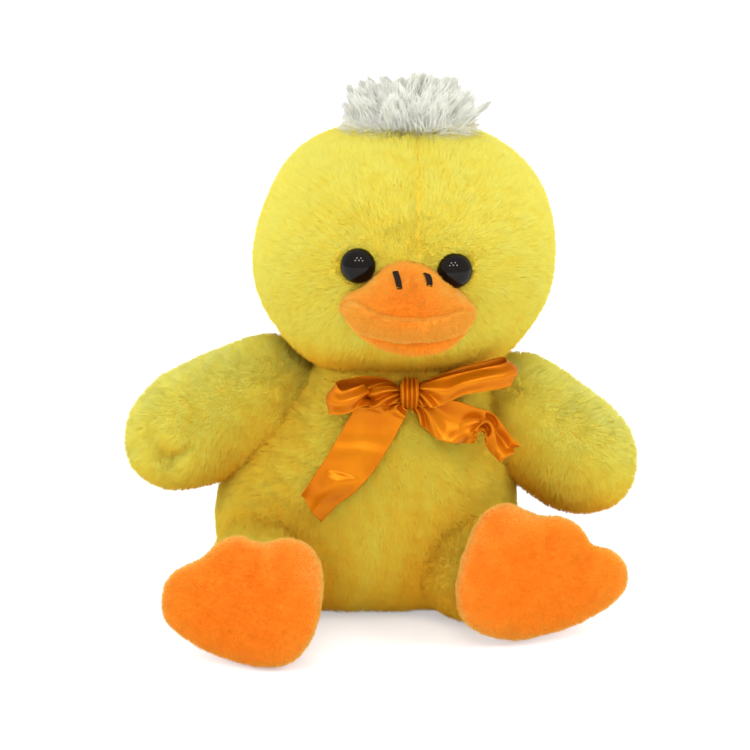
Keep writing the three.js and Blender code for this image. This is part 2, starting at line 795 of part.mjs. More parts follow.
const tailRoot = vector(0, torsoHalfDepth - tailRadius / 2, tailHeight);
const tailTip = tailRoot.clone().add(vector(0, tailLength * 0.8, tailLength * 0.6));
const tailRows = [[0.35, 0.85], [0.65, 0.62], [0.88, 0.38]].map(([distance, share]) => (
  [distance, tailRadius * share, tailRadius * share]
));
addPiece('tail', without(
  limbForm(tailRoot, tailTip, tailRadius, tailRows, 0, limbSides),
  torsoForm(-seamGap),
), ...plush);

addPiece('neck_stuffing', without(
  bar(onNeckAxis(neckPlugLow), onNeckAxis(neckPlugTop + neckPlugHeight / 2),
    neckPlugRadius, neckPlugRadius, roundSides),
  headForm(-jointGap),
), ...filling);

const neckHole = bar(
  onNeckAxis(neckPlugTop - cutOverrun), onNeckAxis(neckPlugTop + neckPlugHeight),
  neckHoleRadius, neckHoleRadius, limbSides,
);
const shankHoles = Object.values(eyePlaces).map(shankRoom);
addPiece('head_cover', without(
  headForm(0), headForm(coverWall), neckHole, shankHoles,
), ...plush);
addPiece('head_stuffing', without(
  headForm(coverWall + fillingGap, roundSides / 2), shankHoles,
  Object.values(eyePlaces).map(washerRoom),
), ...filling);
for (const [side, place] of Object.entries(eyePlaces)) {
  addPiece(`${side}_eye`, eyeSolid(place), ...gloss);
  addPiece(`${side}_eye_washer`, without(washerForm(place), shankRoom(place)), ...plastic);
}

const eyeRooms = Object.values(eyePlaces).map((place) => eyeDome(place, seamGap));
addPiece('upper_beak_cover', without(
  upperBeakForm(0), upperBeakForm(beakWall), headForm(-seamGap), eyeRooms,
), ...felt);
addPiece('upper_beak_stuffing', without(
  upperBeakForm(beakWall + fillingGap), headForm(-seamGap), eyeRooms,
), ...filling);
addPiece('lower_beak_cover', without(
  lowerBeakForm(0), lowerBeakForm(beakWall), upperBeakForm(-seamGap), headForm(-seamGap),
), ...felt);
addPiece('lower_beak_stuffing', without(
  lowerBeakForm(beakWall + fillingGap), upperBeakForm(-seamGap), headForm(-seamGap),
), ...filling);
for (const [side, shares] of Object.entries(nostrilShares)) {
  addPiece(`${side}_nostril_stitch`, without(
    nostrilSolid(shares), upperBeakForm(-seamGap / 2),
  ), ...thread);
}
addPiece('hair_tuft', tuftSolid(), ...pile);

for (const [side, wing] of Object.entries(wings)) {
  const raised = [0, 1 / 2, 1].map((share) => (
    turned(headSpace, wing.root, wing.axis, -wing.rangeDegrees[1] * share)
  ));
  const sleeveHole = bar(
    wing.root, wing.root.clone().addScaledVector(wing.direction, -shoulderRadius - cutOverrun),
    sleeveHoleRadius, sleeveHoleRadius, limbSides,
  );
  addPiece(`${side}_wing_cover`, without(
    wingForm(wing, 0), wingForm(wing, coverWall), raised, sleeveHole,
  ), ...plush);
  addPiece(`${side}_wing_stuffing`, without(
    wingForm(wing, coverWall + fillingGap, limbSides / 2), raised,
  ), ...filling);
}

for (const [side, leg] of Object.entries(legs)) {
  const ankleHole = bar(leg.root, leg.foot, ankleHoleRadius, ankleHoleRadius, limbSides);
  addPiece(`${side}_leg_cover`, without(
    legForm(leg, 0), legForm(leg, coverWall), footForm(side, -seamGap),
  ), ...plush);
  addPiece(`${side}_leg_stuffing`, without(
    legForm(leg, coverWall + fillingGap, limbSides / 2), footForm(side, -seamGap),
  ), ...filling);
  addPiece(`${side}_foot_cover`, without(
    footForm(side, 0), footForm(side, coverWall), ankleHole, floorCut,
  ), ...felt);
  addPiece(`${side}_foot_stuffing`, footForm(side, coverWall + fillingGap), ...filling);
}

const ribbonRoom = [headSpace, torsoForm(-seamGap), wingSpaces];
addPiece('ribbon_neck_band', without(neckBandSolid(), ribbonRoom), ...satin);
addPiece('ribbon_knot', without(knotForm(0), ribbonRoom), ...satin);
for (const [name, rows] of Object.entries(ribbonShares)) {
  addPiece(name, without(ribbonSolid(rows), ribbonRoom, knotForm(seamGap)), ...satin);
}

export default duck;
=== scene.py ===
import math

import bpy
import numpy as np
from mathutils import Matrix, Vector
from mathutils.bvhtree import BVHTree
from mathutils.kdtree import KDTree


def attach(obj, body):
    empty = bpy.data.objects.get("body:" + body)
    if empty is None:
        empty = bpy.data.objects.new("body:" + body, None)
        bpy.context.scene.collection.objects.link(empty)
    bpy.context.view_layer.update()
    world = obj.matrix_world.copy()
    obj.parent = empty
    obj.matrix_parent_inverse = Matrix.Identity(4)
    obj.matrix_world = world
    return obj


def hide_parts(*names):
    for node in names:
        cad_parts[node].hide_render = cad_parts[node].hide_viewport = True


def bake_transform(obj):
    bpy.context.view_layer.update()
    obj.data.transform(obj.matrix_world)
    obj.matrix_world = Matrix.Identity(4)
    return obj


# A sitting plush duck. Everything is worked out in millimetres and scaled to metres
# where a mesh is made. +Z is up and the duck faces -Y.

MM = 0.001
X, Y, Z = np.eye(3)
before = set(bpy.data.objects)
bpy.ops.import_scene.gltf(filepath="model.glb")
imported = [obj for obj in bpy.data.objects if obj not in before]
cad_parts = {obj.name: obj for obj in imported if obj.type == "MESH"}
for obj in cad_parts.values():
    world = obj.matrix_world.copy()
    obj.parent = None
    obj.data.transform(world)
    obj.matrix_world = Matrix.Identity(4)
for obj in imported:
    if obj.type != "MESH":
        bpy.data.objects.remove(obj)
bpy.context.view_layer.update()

# Camera

VIEW_TARGET = Vector((2.4, 0.0, 79.0)) * MM
VIEW_ELEVATION = math.radians(16)
VIEW_DISTANCE = 0.9
# These two are in the picture's pixels
HALF_PICTURE, FOCAL_LENGTH = 375, 2610
VIEW_ANGLE = 2 * math.atan(HALF_PICTURE / FOCAL_LENGTH)

camera_data = bpy.data.cameras.new("camera")
camera_data.sensor_fit = "HORIZONTAL"
camera_data.angle = VIEW_ANGLE
camera = bpy.data.objects.new("camera", camera_data)
bpy.context.scene.collection.objects.link(camera)
camera.location = VIEW_TARGET + VIEW_DISTANCE * Vector(
    (0, -math.cos(VIEW_ELEVATION), math.sin(VIEW_ELEVATION)))
camera.rotation_euler = (math.pi / 2 - VIEW_ELEVATION, 0, 0)
bpy.context.scene.camera = camera

# Colours and materials


def linear(*shown):
    """A colour given as it shows, from 0 to 255, as Blender's linear values."""
    shares = [value / 255 for value in shown]
    light = [share / 12.92 if share <= 0.04045 else ((share + 0.055) / 1.055) ** 2.4 for share in shares]
    return (*light, 1.0)


def set_inputs(node, values):
    for key, value in values.items():
        node.inputs[key.replace("_", " ")].default_value = value


def add_node(tree, kind, **values):
    """A new shader node, with values for its inputs."""
    node = tree.nodes.new(f"ShaderNode{kind}")
    set_inputs(node, values)
    return node


def wire(tree, *joins):
    """Links of a node and its output to a node and its input."""
    for source, output, target, entry in joins:
        tree.links.new(source.outputs[output], target.inputs[entry])


def principled(name, **values):
    """A new material, with its node tree and its shader."""
    material = bpy.data.materials.new(name)
    material.use_nodes = True
    shader = material.node_tree.nodes["Principled BSDF"]
    set_inputs(shader, values)
    return material, material.node_tree, shader


def noise_ramp(tree, shader, scale, dark, light, ends, detail):
    """Colours the surface by noise, between two colours at the ends of a ramp."""
    texture = add_node(tree, "TexNoise", Scale=scale, Detail=detail)
    ramp = add_node(tree, "ValToRGB")
    for element, end, colour in zip(ramp.color_ramp.elements, ends, (dark, light)):
        element.position = end
        element.color = linear(*colour)
    where = add_node(tree, "TexCoord")
    wire(tree, (where, "Object", texture, "Vector"), (texture, "Fac", ramp, "Fac"),
         (ramp, "Color", shader, "Base Color"))


def noise_bump(tree, shader, scale, strength, distance, stretch=(1, 1, 1)):
    """Roughens the surface by noise, which may be stretched along the axes."""
    where = add_node(tree, "TexCoord")
    mapping = add_node(tree, "Mapping", Scale=stretch)
    texture = add_node(tree, "TexNoise", Scale=scale, Detail=3)
    relief = add_node(tree, "Bump", Strength=strength, Distance=distance)
    wire(tree, (where, "Object", mapping, "Vector"), (mapping, "Vector", texture, "Vector"),
         (texture, "Fac", relief, "Height"), (relief, "Normal", shader, "Normal"))


def noisy(name, scale, dark, light, ends=(0.3, 0.7), detail=4, relief=None, **values):
    """A material whose colour follows noise, with a fine relief if one is given."""
    material, tree, shader = principled(name, **values)
    noise_ramp(tree, shader, scale, dark, light, ends, detail)
    if relief:
        noise_bump(tree, shader, *relief)
    return material


def backing(name, dark, light):
    """The cloth under a long pile."""
    return noisy(name, 180, dark, light, relief=(1400, 0.6, 0.0006), Roughness=0.95, Sheen_Weight=0.2)


def velboa(name, dark, light):
    """A cloth with a short nap."""
    return noisy(
        name, 150, dark, light, ends=(0.35, 0.68), detail=6, relief=(1500, 0.45, 0.0005, (0.5, 1, 1.6)),
        Roughness=0.85, Sheen_Weight=0.5, Sheen_Roughness=0.3, Sheen_Tint=(1, 0.72, 0.4, 1),
        Specular_IOR_Level=0.2)


def piles(name, *colours):
    """Strand colours. Each is the same all along a strand, so it needs no map."""
    return [principled(f"{name}_pile_{index}", Base_Color=linear(*colour), Roughness=0.9,
                       Specular_IOR_Level=0.08)[0] for index, colour in enumerate(colours)]


yellow_backing = backing("yellow_backing", (240, 204, 58), (248, 222, 84))
white_backing = backing("white_backing", (236, 234, 212), (248, 247, 230))
foot_velboa = velboa("foot_velboa", (250, 122, 14), (253, 134, 26))
panel_velboa = velboa("panel_velboa", (250, 130, 16), (253, 146, 28))
# The lip's velboa is the panel's, paler: painted light on the forward-facing rolled lip
lip_velboa_painted_light = velboa("lip_velboa_painted_light", (251, 146, 34), (254, 164, 54))
# From lemon to golden. Besides the fur's own variation, the tones use the lemon end for painted light and
# the golden end for painted shade
YELLOWS = piles("yellow", (252, 246, 126), (253, 241, 106), (254, 235, 90), (254, 226, 78), (254, 215, 66),
                (254, 203, 55), (254, 190, 44))
WHITES = piles("white", (255, 255, 247), (254, 254, 240), (251, 249, 224), (250, 234, 170))
# From pale to deep orange. The pale end is painted rim light on the feet and the bill
ORANGES = piles("orange", (255, 186, 84), (255, 172, 62), (255, 158, 46), (254, 145, 34), (253, 132, 24),
                (252, 119, 16))
satin = noisy(
    "satin", 70, (187, 98, 4), (204, 119, 7), relief=(2600, 0.2, 0.0002, (1, 1, 0.3)), Roughness=0.4,
    Metallic=0.45, Specular_IOR_Level=0.4, Specular_Tint=(1, 0.7, 0.25, 1), Anisotropic=0.7)
eye_gloss = noisy("eye_gloss", 120, (8, 6, 5), (20, 14, 9), ends=(0.3, 0.75), Roughness=0.03,
                  Specular_IOR_Level=0.16)
black_thread = noisy("black_thread", 900, (16, 9, 5), (46, 28, 14), ends=(0.3, 0.8),
                     relief=(4000, 0.5, 0.0003), Roughness=0.75, Specular_IOR_Level=0.2)

# Mesh helpers


def link(piece):
    bpy.context.scene.collection.objects.link(piece)
    return piece


def finish_faces(mesh, materials=(), slots=None):
    """Gives a mesh its materials, each face its slot, and all of them smooth shading."""
    for material in materials:
        mesh.materials.append(material)
    if slots is not None:
        mesh.polygons.foreach_set("material_index", np.asarray(slots, np.int32))
    mesh.polygons.foreach_set("use_smooth", np.full(len(mesh.polygons), True))


def new_piece(name, points, faces, materials, slots=None):
    """A smooth mesh object from points in millimetres."""
    mesh = bpy.data.meshes.new(name)
    mesh.from_pydata((np.asarray(points) * MM).tolist(), [], [list(face) for face in faces])
    finish_faces(mesh, materials, slots)
    mesh.update()
    return link(bpy.data.objects.new(name, mesh))


def norms(vectors):
    return np.linalg.norm(vectors, axis=-1, keepdims=True)


def unit(vectors):
    return vectors / np.maximum(norms(vectors), 1e-9)


def bend(value, power):
    """A sine or cosine as it is on a rounder or squarer oval. With power 2 it stays as it is."""
    return np.sign(value) * np.abs(value) ** (2 / power)


def curve_through(corners, count, closed=False):
    """A smooth line through corners, of count points."""
    corners = np.asarray(corners, float)
    number = len(corners)
    spans = number if closed else number - 1
    places = np.linspace(0, spans, count, endpoint=not closed)
    index = np.minimum(places.astype(int), spans - 1)
    t = (places - index)[:, None]

    def corner(offset):
        place = index + offset
        return corners[place % number if closed else np.clip(place, 0, number - 1)]
    p0, p1, p2, p3 = corner(-1), corner(0), corner(1), corner(2)
    return 0.5 * (2 * p1 + (p2 - p0) * t + (2 * p0 - 5 * p1 + 4 * p2 - p3) * t ** 2
                  + (3 * p1 - p0 - 3 * p2 + p3) * t ** 3)


def oval(centre, across, up, half_across, half_up, power, sides):
    angle = np.linspace(0, 2 * math.pi, sides, endpoint=False)
    return (centre + np.outer(bend(np.cos(angle), power) * half_across, across)
            + np.outer(bend(np.sin(angle), power) * half_up, up))


def loft(rings, first, last):
    """Points and faces of a closed skin over rings, with a pole at each end."""
    sides = len(rings[0])
    points = np.vstack([[first], *rings, [last]])
    end = len(points) - 1
    faces = []
    for side in range(sides):
        following = (side + 1) % sides
        faces.append((0, 1 + following, 1 + side))
        faces.append((end, end - sides + side, end - sides + following))
        for ring in range(len(rings) - 1):
            low = 1 + ring * sides
            high = low + sides
            faces.append((low + side, low + following, high + following, high + side))
    corner = points[np.array([face[:3] for face in faces])] - points.mean(0)
    if np.einsum("ij,ij->i", corner[:, 0], np.cross(corner[:, 1], corner[:, 2])).sum() < 0:
        faces = [face[::-1] for face in faces]
    return points, faces


def coordinates(piece):
    """A piece's points, in millimetres."""
    vertices = piece.data.vertices
    flat = np.empty(len(vertices) * 3)
    vertices.foreach_get("co", flat)
    return flat.reshape(-1, 3) / MM


def set_coordinates(piece, points):
    piece.data.vertices.foreach_set("co", (np.asarray(points) * MM).ravel())
    piece.data.update()


def apply_modifiers(piece):
    depsgraph = bpy.context.evaluated_depsgraph_get()
    mesh = bpy.data.meshes.new_from_object(piece.evaluated_get(depsgraph))
    old = piece.data
    piece.modifiers.clear()
    piece.data = mesh
    bpy.data.meshes.remove(old)
    finish_faces(mesh)


def modify(piece, kind, **settings):
    """Gives a piece one modifier and applies it."""
    modifier = piece.modifiers.new(kind.lower(), kind)
    for key, value in settings.items():
        setattr(modifier, key, value)
    apply_modifiers(piece)


def remesh(piece, voxel):
    modify(piece, "REMESH", mode="VOXEL", voxel_size=voxel * MM)


def smooth_out(piece, rounds):
    modify(piece, "SMOOTH", factor=0.5, iterations=rounds)


def subdivide(piece):
    modify(piece, "SUBSURF", levels=1, render_levels=1)


CLOTH_SCALE = 5
CLOTH = dict(quality=6, mass=0.3, tension_stiffness=15, compression_stiffness=10, shear_stiffness=5,
             bending_stiffness=0.6, use_pressure=True, uniform_pressure_force=4)


def inflate(piece, cap, pins=None, growth=0.03, frames=20):
    """Swells a stuffed piece with Blender's Cloth, at five times its size, and caps the moves."""
    rest = coordinates(piece)
    set_coordinates(piece, rest * CLOTH_SCALE)
    modifier = piece.modifiers.new("cloth", "CLOTH")
    for key, value in CLOTH.items():
        setattr(modifier.settings, key, value)
    modifier.settings.shrink_min = -growth
    modifier.settings.effector_weights.gravity = 0
    if pins is not None:
        group = piece.vertex_groups.new(name="pins")
        for index, weight in enumerate(pins(rest)):
            group.add([index], float(weight), "REPLACE")
        modifier.settings.vertex_group_mass = "pins"
    modifier.point_cache.frame_start, modifier.point_cache.frame_end = 1, frames
    for number in range(1, frames + 1):
        bpy.context.scene.frame_set(number)
    apply_modifiers(piece)
    piece.vertex_groups.clear()
    bpy.context.scene.frame_set(1)
    shift = coordinates(piece) / CLOTH_SCALE - rest
    set_coordinates(piece, rest + shift * np.minimum(1, cap / np.maximum(norms(shift), 1e-9)))


def surface_of(piece):
    """Points, triangles, triangle areas and smooth point normals, in millimetres."""
    mesh = piece.data
    mesh.calc_loop_triangles()
    points = coordinates(piece)
    tris = np.empty(len(mesh.loop_triangles) * 3, np.int32)
    mesh.loop_triangles.foreach_get("vertices", tris)
    tris = tris.reshape(-1, 3)
    cross = np.cross(points[tris[:, 1]] - points[tris[:, 0]], points[tris[:, 2]] - points[tris[:, 0]])
    normals = np.zeros_like(points)
    for corner in range(3):
        np.add.at(normals, tris[:, corner], cross)
    return points, tris, np.linalg.norm(cross, axis=1) / 2, unit(normals)


def tree_of(piece):
    points, tris, _, _ = surface_of(piece)
    return BVHTree.FromPolygons(points.tolist(), tris.tolist())


def crossings(tree, point, most=20):
    """How often a line upwards from a point passes through a closed skin."""
    way = Vector((0.11, 0.07, 0.99))
    count = 0
    place = tree.ray_cast(Vector(point), way)[0]
    while place is not None and count < most:
        count += 1
        place = tree.ray_cast(place + way * 0.01, way)[0]
    return count


def depth_in(tree, points, reach=500.0):
    """How far each point lies inside a closed skin. Outside it, or past reach, is negative."""
    depths = np.full(len(points), -reach)
    for index, point in enumerate(points):
        place, normal, _, distance = tree.find_nearest(point, reach)
        if place is not None:
            inside = (Vector(point) - place).dot(normal) < 0 and crossings(tree, point) % 2
            depths[index] = distance if inside else -distance
    return depths


def nearness(places, others, reach):
    """How close each place is to any of the other skins, from 0 at the reach to 1 at the skin."""
    close = np.zeros(len(places))
    for tree in others:
        for index, place in enumerate(places):
            distance = tree.find_nearest(place, reach)[3]
            if distance is not None:
                close[index] = max(close[index], 1 - distance / reach)
    return close


def fillet(piece, others, reach):
    """Swells a skin where it meets others, so that they run into each other smoothly."""
    points, _, _, normals = surface_of(piece)
    out = np.zeros(len(points))
    for tree in others:
        near = np.clip(1 - np.abs(depth_in(tree, points)) / reach, 0, 1)
        out = np.maximum(out, near ** 2 * reach / 5)
    set_coordinates(piece, points + normals * out[:, None])


def to_line(points, first, last):
    """Distance of each point from a straight line between two places."""
    first, last = np.asarray(first, float), np.asarray(last, float)
    span = last - first
    share = np.clip((points - first) @ span / (span @ span), 0, 1)
    return np.linalg.norm(points - first - share[:, None] * span, axis=1)


def crease(piece, depth, width, *line):
    """Pulls a skin in along a line of places, as a seam or a fold does."""
    points, _, _, normals = surface_of(piece)
    away = np.min([to_line(points, a, b) for a, b in zip(line, line[1:])], axis=0)
    set_coordinates(piece, points - normals * (depth * np.exp(-(away / width) ** 2))[:, None])


# Shapes, as the CAD has them

HEAD_CENTRE = np.array([12.0, -4.0, 124.0])
HEAD_HALF_WIDTH, HEAD_RADIUS, HEAD_POWER = 51.5, 44.0, 2.4
TORSO_HEIGHT, TORSO_HALF_WIDTH, TORSO_HALF_DEPTH = 92.0, 52.0, 40.0
NECK_FORWARD = 5.0
SEAM_X = 16.5
PILE = 2.6


def wide_ball(centre, half_width, radius, power, sides, count):
    """A ball that is wider than it is high, with squarer sides for a higher power."""
    rings = []
    for ring in range(1, count):
        angle = math.pi * (ring / count - 0.5)
        middle = centre + X * half_width * bend(math.sin(angle), power)
        reach = radius * bend(math.cos(angle), power)
        rings.append(oval(middle, Y, Z, reach, reach, 2, sides))
    return loft(rings, centre - X * half_width, centre + X * half_width)


def head_reach(sideways):
    share = min(1.0, abs(sideways) / HEAD_HALF_WIDTH)
    return HEAD_RADIUS * (1 - share ** HEAD_POWER) ** (1 / HEAD_POWER)


def head_front(x, z):
    """The y of the head's front at a place across and up."""
    reach = head_reach(x - HEAD_CENTRE[0])
    return HEAD_CENTRE[1] - math.sqrt(max(reach ** 2 - (z - HEAD_CENTRE[2]) ** 2, 0))


def on_head(sideways, lift):
    """A point on the head and the direction that it faces, as the CAD works it out."""
    step = HEAD_HALF_WIDTH / 100
    slope = (head_reach(sideways + step) - head_reach(sideways - step)) / (2 * step)
    lift = math.radians(lift)
    radial = np.array([0, -math.cos(lift), math.sin(lift)])
    return HEAD_CENTRE + sideways * X + radial * head_reach(sideways), unit(radial - slope * X)


# Height, half width and half depth as shares of the torso's, then how much of the way its middle has
# gone over to the head's side, and forwards to the neck's
TORSO_ROWS = (
    (0, 0.64, 0.58, 0, 0), (0.03, 0.76, 0.7, 0, 0), (0.08, 0.88, 0.82, -0.02, 0),
    (0.17, 0.965, 0.93, -0.05, 0), (0.25, 0.99, 0.98, -0.07, 0.02), (0.34, 1, 1, -0.08, 0.05),
    (0.44, 0.97, 0.995, 0, 0.17), (0.53, 0.92, 0.98, 0.1, 0.3), (0.65, 0.83, 0.93, 0.35, 0.5),
    (0.76, 0.735, 0.85, 0.6, 0.75), (0.815, 0.68, 0.8, 0.78, 0.9), (0.86, 0.6, 0.74, 0.87, 1),
    (0.93, 0.54, 0.7, 0.95, 1), (1, 0.5, 0.68, 1, 1))
SEAT = 0.8


def torso_form(inset):
    rings = []
    for height, width, depth, lean, forward in TORSO_ROWS:
        centre = np.array([HEAD_CENTRE[0] * lean, -NECK_FORWARD * forward, max(SEAT, TORSO_HEIGHT * height)])
        rings.append(oval(centre, X, Y, TORSO_HALF_WIDTH * width - inset,
                          TORSO_HALF_DEPTH * depth - inset, 2.2, 48))
    return loft(rings, np.array([0, 0, SEAT]), np.array([HEAD_CENTRE[0], -NECK_FORWARD, TORSO_HEIGHT]))


def limb_form(root, tip, root_radius, rows, inset, sides=32):
    """A limb with a round root. Rows are share of the length, half height and half depth."""
    along = unit(tip - root)
    across = unit(np.cross(Z, along))
    up = np.cross(along, across)
    length = np.linalg.norm(tip - root) - inset
    rings = []
    for ring in range(1, 7):
        angle = math.pi / 2 * (1 - ring / 6)
        reach = (root_radius - inset) * math.cos(angle)
        rings.append(oval(root - along * (root_radius - inset) * math.sin(angle),
                          across, up, reach, reach, 2, sides))
    for distance, half_height, half_depth in rows:
        rings.append(oval(root + along * length * distance, across, up,
                          half_depth - inset, half_height - inset, 2, sides))
    return loft(rings, root - along * (root_radius - inset), tip - along * inset)


WING_LENGTH, SHOULDER_RADIUS = 48.0, 19.5
WING_HALF_HEIGHT, WING_HALF_DEPTH = 21.0, 16.5
WING_ROWS = [(share, WING_HALF_HEIGHT * height, WING_HALF_DEPTH * depth) for share, height, depth in (
    (0.2, 0.98, 1.06), (0.42, 1.02, 1.04), (0.62, 1, 1), (0.78, 0.88, 0.88), (0.9, 0.66, 0.68),
    (0.97, 0.4, 0.42))]
WINGS = {
    "right": (np.array([-36.5, -5.0, 70.5]), unit(np.array([-0.95, -0.2, -0.26]))),
    "left": (np.array([53.0, -5.0, 70.5]), unit(np.array([0.77, -0.2, -0.6]))),
}
HIP_RADIUS, ANKLE_RADIUS = 18.5, 15.0
LEG_ROWS = []
for share in (0.3, 0.65, 0.95):
    radius = HIP_RADIUS + (ANKLE_RADIUS - HIP_RADIUS) * share
    LEG_ROWS.append((share, radius, radius))
LEGS = {
    "right": (np.array([-35.5, -29.0, 18.8]), np.array([-40.0, -67.0, 22.0])),
    "left": (np.array([36.0, -30.0, 18.8]), np.array([57.5, -46.0, 25.0])),
}
TAIL_ROOT, TAIL_WAY = np.array([0, TORSO_HALF_DEPTH - 5.5, 24.0]), np.array([0, 0.8, 0.6])
TAIL_LENGTH, TAIL_RADIUS, TAIL_PILE = 24, 11.0, 2.2
TAIL_ROWS = [(0.35, 9.35, 9.35), (0.65, 6.8, 6.8), (0.88, 4.2, 4.2)]


def soft_body(name, form, voxel=4.0, cap=1.2):
    """A stuffed skin: remeshed, swollen by Cloth, and subdivided."""
    piece = new_piece(name, *form, [yellow_backing])
    remesh(piece, voxel)
    smooth_out(piece, 3)
    inflate(piece, cap)
    subdivide(piece)
    return piece


skins = {}
skins["torso"] = soft_body("torso_plush", torso_form(PILE))
skins["head"] = soft_body("head_plush", wide_ball(
    HEAD_CENTRE, HEAD_HALF_WIDTH - PILE - 0.8, HEAD_RADIUS - PILE, HEAD_POWER, 48, 28), cap=0.8)
for side, (root, direction) in WINGS.items():
    skins[f"{side}_wing"] = soft_body(f"{side}_wing_plush", limb_form(
        root, root + direction * WING_LENGTH, SHOULDER_RADIUS, WING_ROWS, PILE))
for side, (root, ankle) in LEGS.items():
    skins[f"{side}_leg"] = soft_body(f"{side}_leg_plush", limb_form(root, ankle, HIP_RADIUS, LEG_ROWS, PILE))
skins["tail"] = soft_body("tail_plush", limb_form(
    TAIL_ROOT, TAIL_ROOT + TAIL_WAY * TAIL_LENGTH, TAIL_RADIUS, TAIL_ROWS, TAIL_PILE), voxel=2.5, cap=0.8)

# The lopsided shapes of the stuffed parts, which the photograph's outline shows


def move(piece, shift):
    points = coordinates(piece)
    set_coordinates(piece, points + shift(points))


def bump(values, centre, width):
    return np.exp(-((values - centre) / width) ** 2)[:, None]


def head_shift(points):
    beside = np.clip((points[:, :1] - HEAD_CENTRE[0]) / 40, -1, 1)
    left_top = np.clip(-beside, 0, 1) * bump(points[:, 2], 143, 14) * 2.4
    return X * (left_top - beside * bump(points[:, 2], 99, 10) * 1.6)


def right_wing_shift(points):
    root, direction = WINGS["right"]
    share = np.clip((points - root) @ direction / WING_LENGTH, -0.2, 1)[:, None]
    above = np.clip((points[:, 2:] - root[2]) / 19, 0, 1)
    return Z * (2.0 - 6.0 * share + 2.4 * above * (1 - share)) - X * 1.6 * share


def belly_shift(points):
    front = np.clip((-8 - points[:, 1:2]) / 22, 0, 1)
    return Z * 3.2 * front * np.clip(1 - points[:, 2:] / 24, 0, 1)


move(skins["head"], head_shift)
move(skins["right_wing"], right_wing_shift)
move(skins["left_wing"], lambda points: np.array([-1.2, 0, -1.6]))
move(skins["torso"], belly_shift)
trees = {name: tree_of(piece) for name, piece in skins.items()}
LIMBS = ("right_wing", "left_wing", "right_leg", "left_leg")
# Skins swell out where they are closer to each other than this
FILLET_REACH = 12
for name in LIMBS + ("tail",):
    fillet(skins[name], [trees["torso"]], FILLET_REACH)
fillet(skins["torso"], [trees[name] for name in LIMBS + ("tail",)], FILLET_REACH)
seated = coordinates(skins["torso"])
seated[:, 2] = np.maximum(seated[:, 2], SEAT)
set_coordinates(skins["torso"], seated)

# The wing's pinch and its creases, and the seam up the forehead

PINCH = np.array([-66.0, -22.5, 56.0])
crease(skins["right_wing"], 5, 3, PINCH - Z * 0.5, PINCH + Z * 0.5)
for way in ((-8, 3, 2), (4, -1, 3), (3, -1, -7), (-5, 0, 6)):
    crease(skins["right_wing"], 2.4, 1.8, PINCH, PINCH + 1.4 * np.array(way))
seam_line = [np.array([SEAM_X, HEAD_CENTRE[1] - HEAD_RADIUS * math.cos(angle),
                       HEAD_CENTRE[2] + HEAD_RADIUS * math.sin(angle)])
             for angle in np.radians(np.linspace(10, 84, 12))]
crease(skins["head"], 0.7, 2.2, *seam_line)
trees = {name: tree_of(piece) for name, piece in skins.items()}

# Strands


def smooth_noise(points, size, seed):
    """Soft noise from -1 to 1 over space, from a few waves with seeded directions."""
    rng = np.random.default_rng(seed)
    total = np.zeros(len(points))
    for _ in range(6):
        wave = rng.normal(size=3) / size
        total += np.sin(points @ wave * 2 * math.pi / 1.6 + rng.uniform(0, 6.28))
    return np.clip(total / 3, -1, 1)


def scatter(piece, count, rng, keep):
    """Seeded places on a skin, with their smooth normals."""
    points, tris, areas, normals = surface_of(piece)
    weights = areas * keep(points[tris].mean(axis=1))
    picked = rng.choice(len(tris), count, p=weights / weights.sum())
    first, second = rng.random(count), rng.random(count)
    flip = first + second > 1
    first[flip], second[flip] = 1 - first[flip], 1 - second[flip]
    shares = np.stack([1 - first - second, first, second], 1)[:, :, None]
    corners = tris[picked]
    return (points[corners] * shares).sum(1), unit((normals[corners] * shares).sum(1))


def strands(name, levels, radii, shade, soft, rng, materials):
    """Three-sided tapered strands, with a ring of points at every level but the last, the tip."""
    count, rings = len(shade), len(levels) - 1
    along = unit(levels[-1] - levels[0])
    first = unit(np.cross(along, rng.normal(size=(count, 3))))
    second = np.cross(along, first)
    rows = [level + (first * math.cos(angle) + second * math.sin(angle)) * radius
            for level, radius in zip(levels, radii) for angle in np.radians((0, 120, 240))]
    points = np.stack(rows + [levels[-1]], 1)
    number = 3 * rings + 1
    sides = ((0, 1), (1, 2), (2, 0))
    quads = [(3 * ring + a, 3 * ring + b, 3 * ring + 3 + b, 3 * ring + 3 + a)
             for ring in range(rings - 1) for a, b in sides]
    ends = [(number - 4 + a, number - 4 + b, number - 1) for a, b in sides]
    pattern = np.array([index for face in quads + ends for index in face])
    starts = np.cumsum([0] + [len(face) for face in quads + ends])[:-1]
    mesh = bpy.data.meshes.new(name)
    mesh.vertices.add(count * number)
    mesh.vertices.foreach_set("co", (points.reshape(-1, 3) * MM).astype(np.float32).ravel())
    corners = (np.arange(count) * number)[:, None] + pattern
    mesh.loops.add(corners.size)
    mesh.loops.foreach_set("vertex_index", corners.astype(np.int32).ravel())
    mesh.polygons.add(count * len(starts))
    offsets = (np.arange(count) * len(pattern))[:, None] + starts
    mesh.polygons.foreach_set("loop_start", offsets.astype(np.int32).ravel())
    finish_faces(mesh, materials, np.repeat(shade, len(starts)))
    mesh.update(calc_edges=True)
    mesh.normals_split_custom_set_from_vertices(np.repeat(soft, number, axis=0).tolist())
    return link(bpy.data.objects.new(name, mesh))


# Strands and feet stay this far above the floor, and strands start this deep in the skin
FLOOR_GAP, ROOT_DEPTH = 0.3, 0.5


def everywhere(middles):
    return np.ones(len(middles))


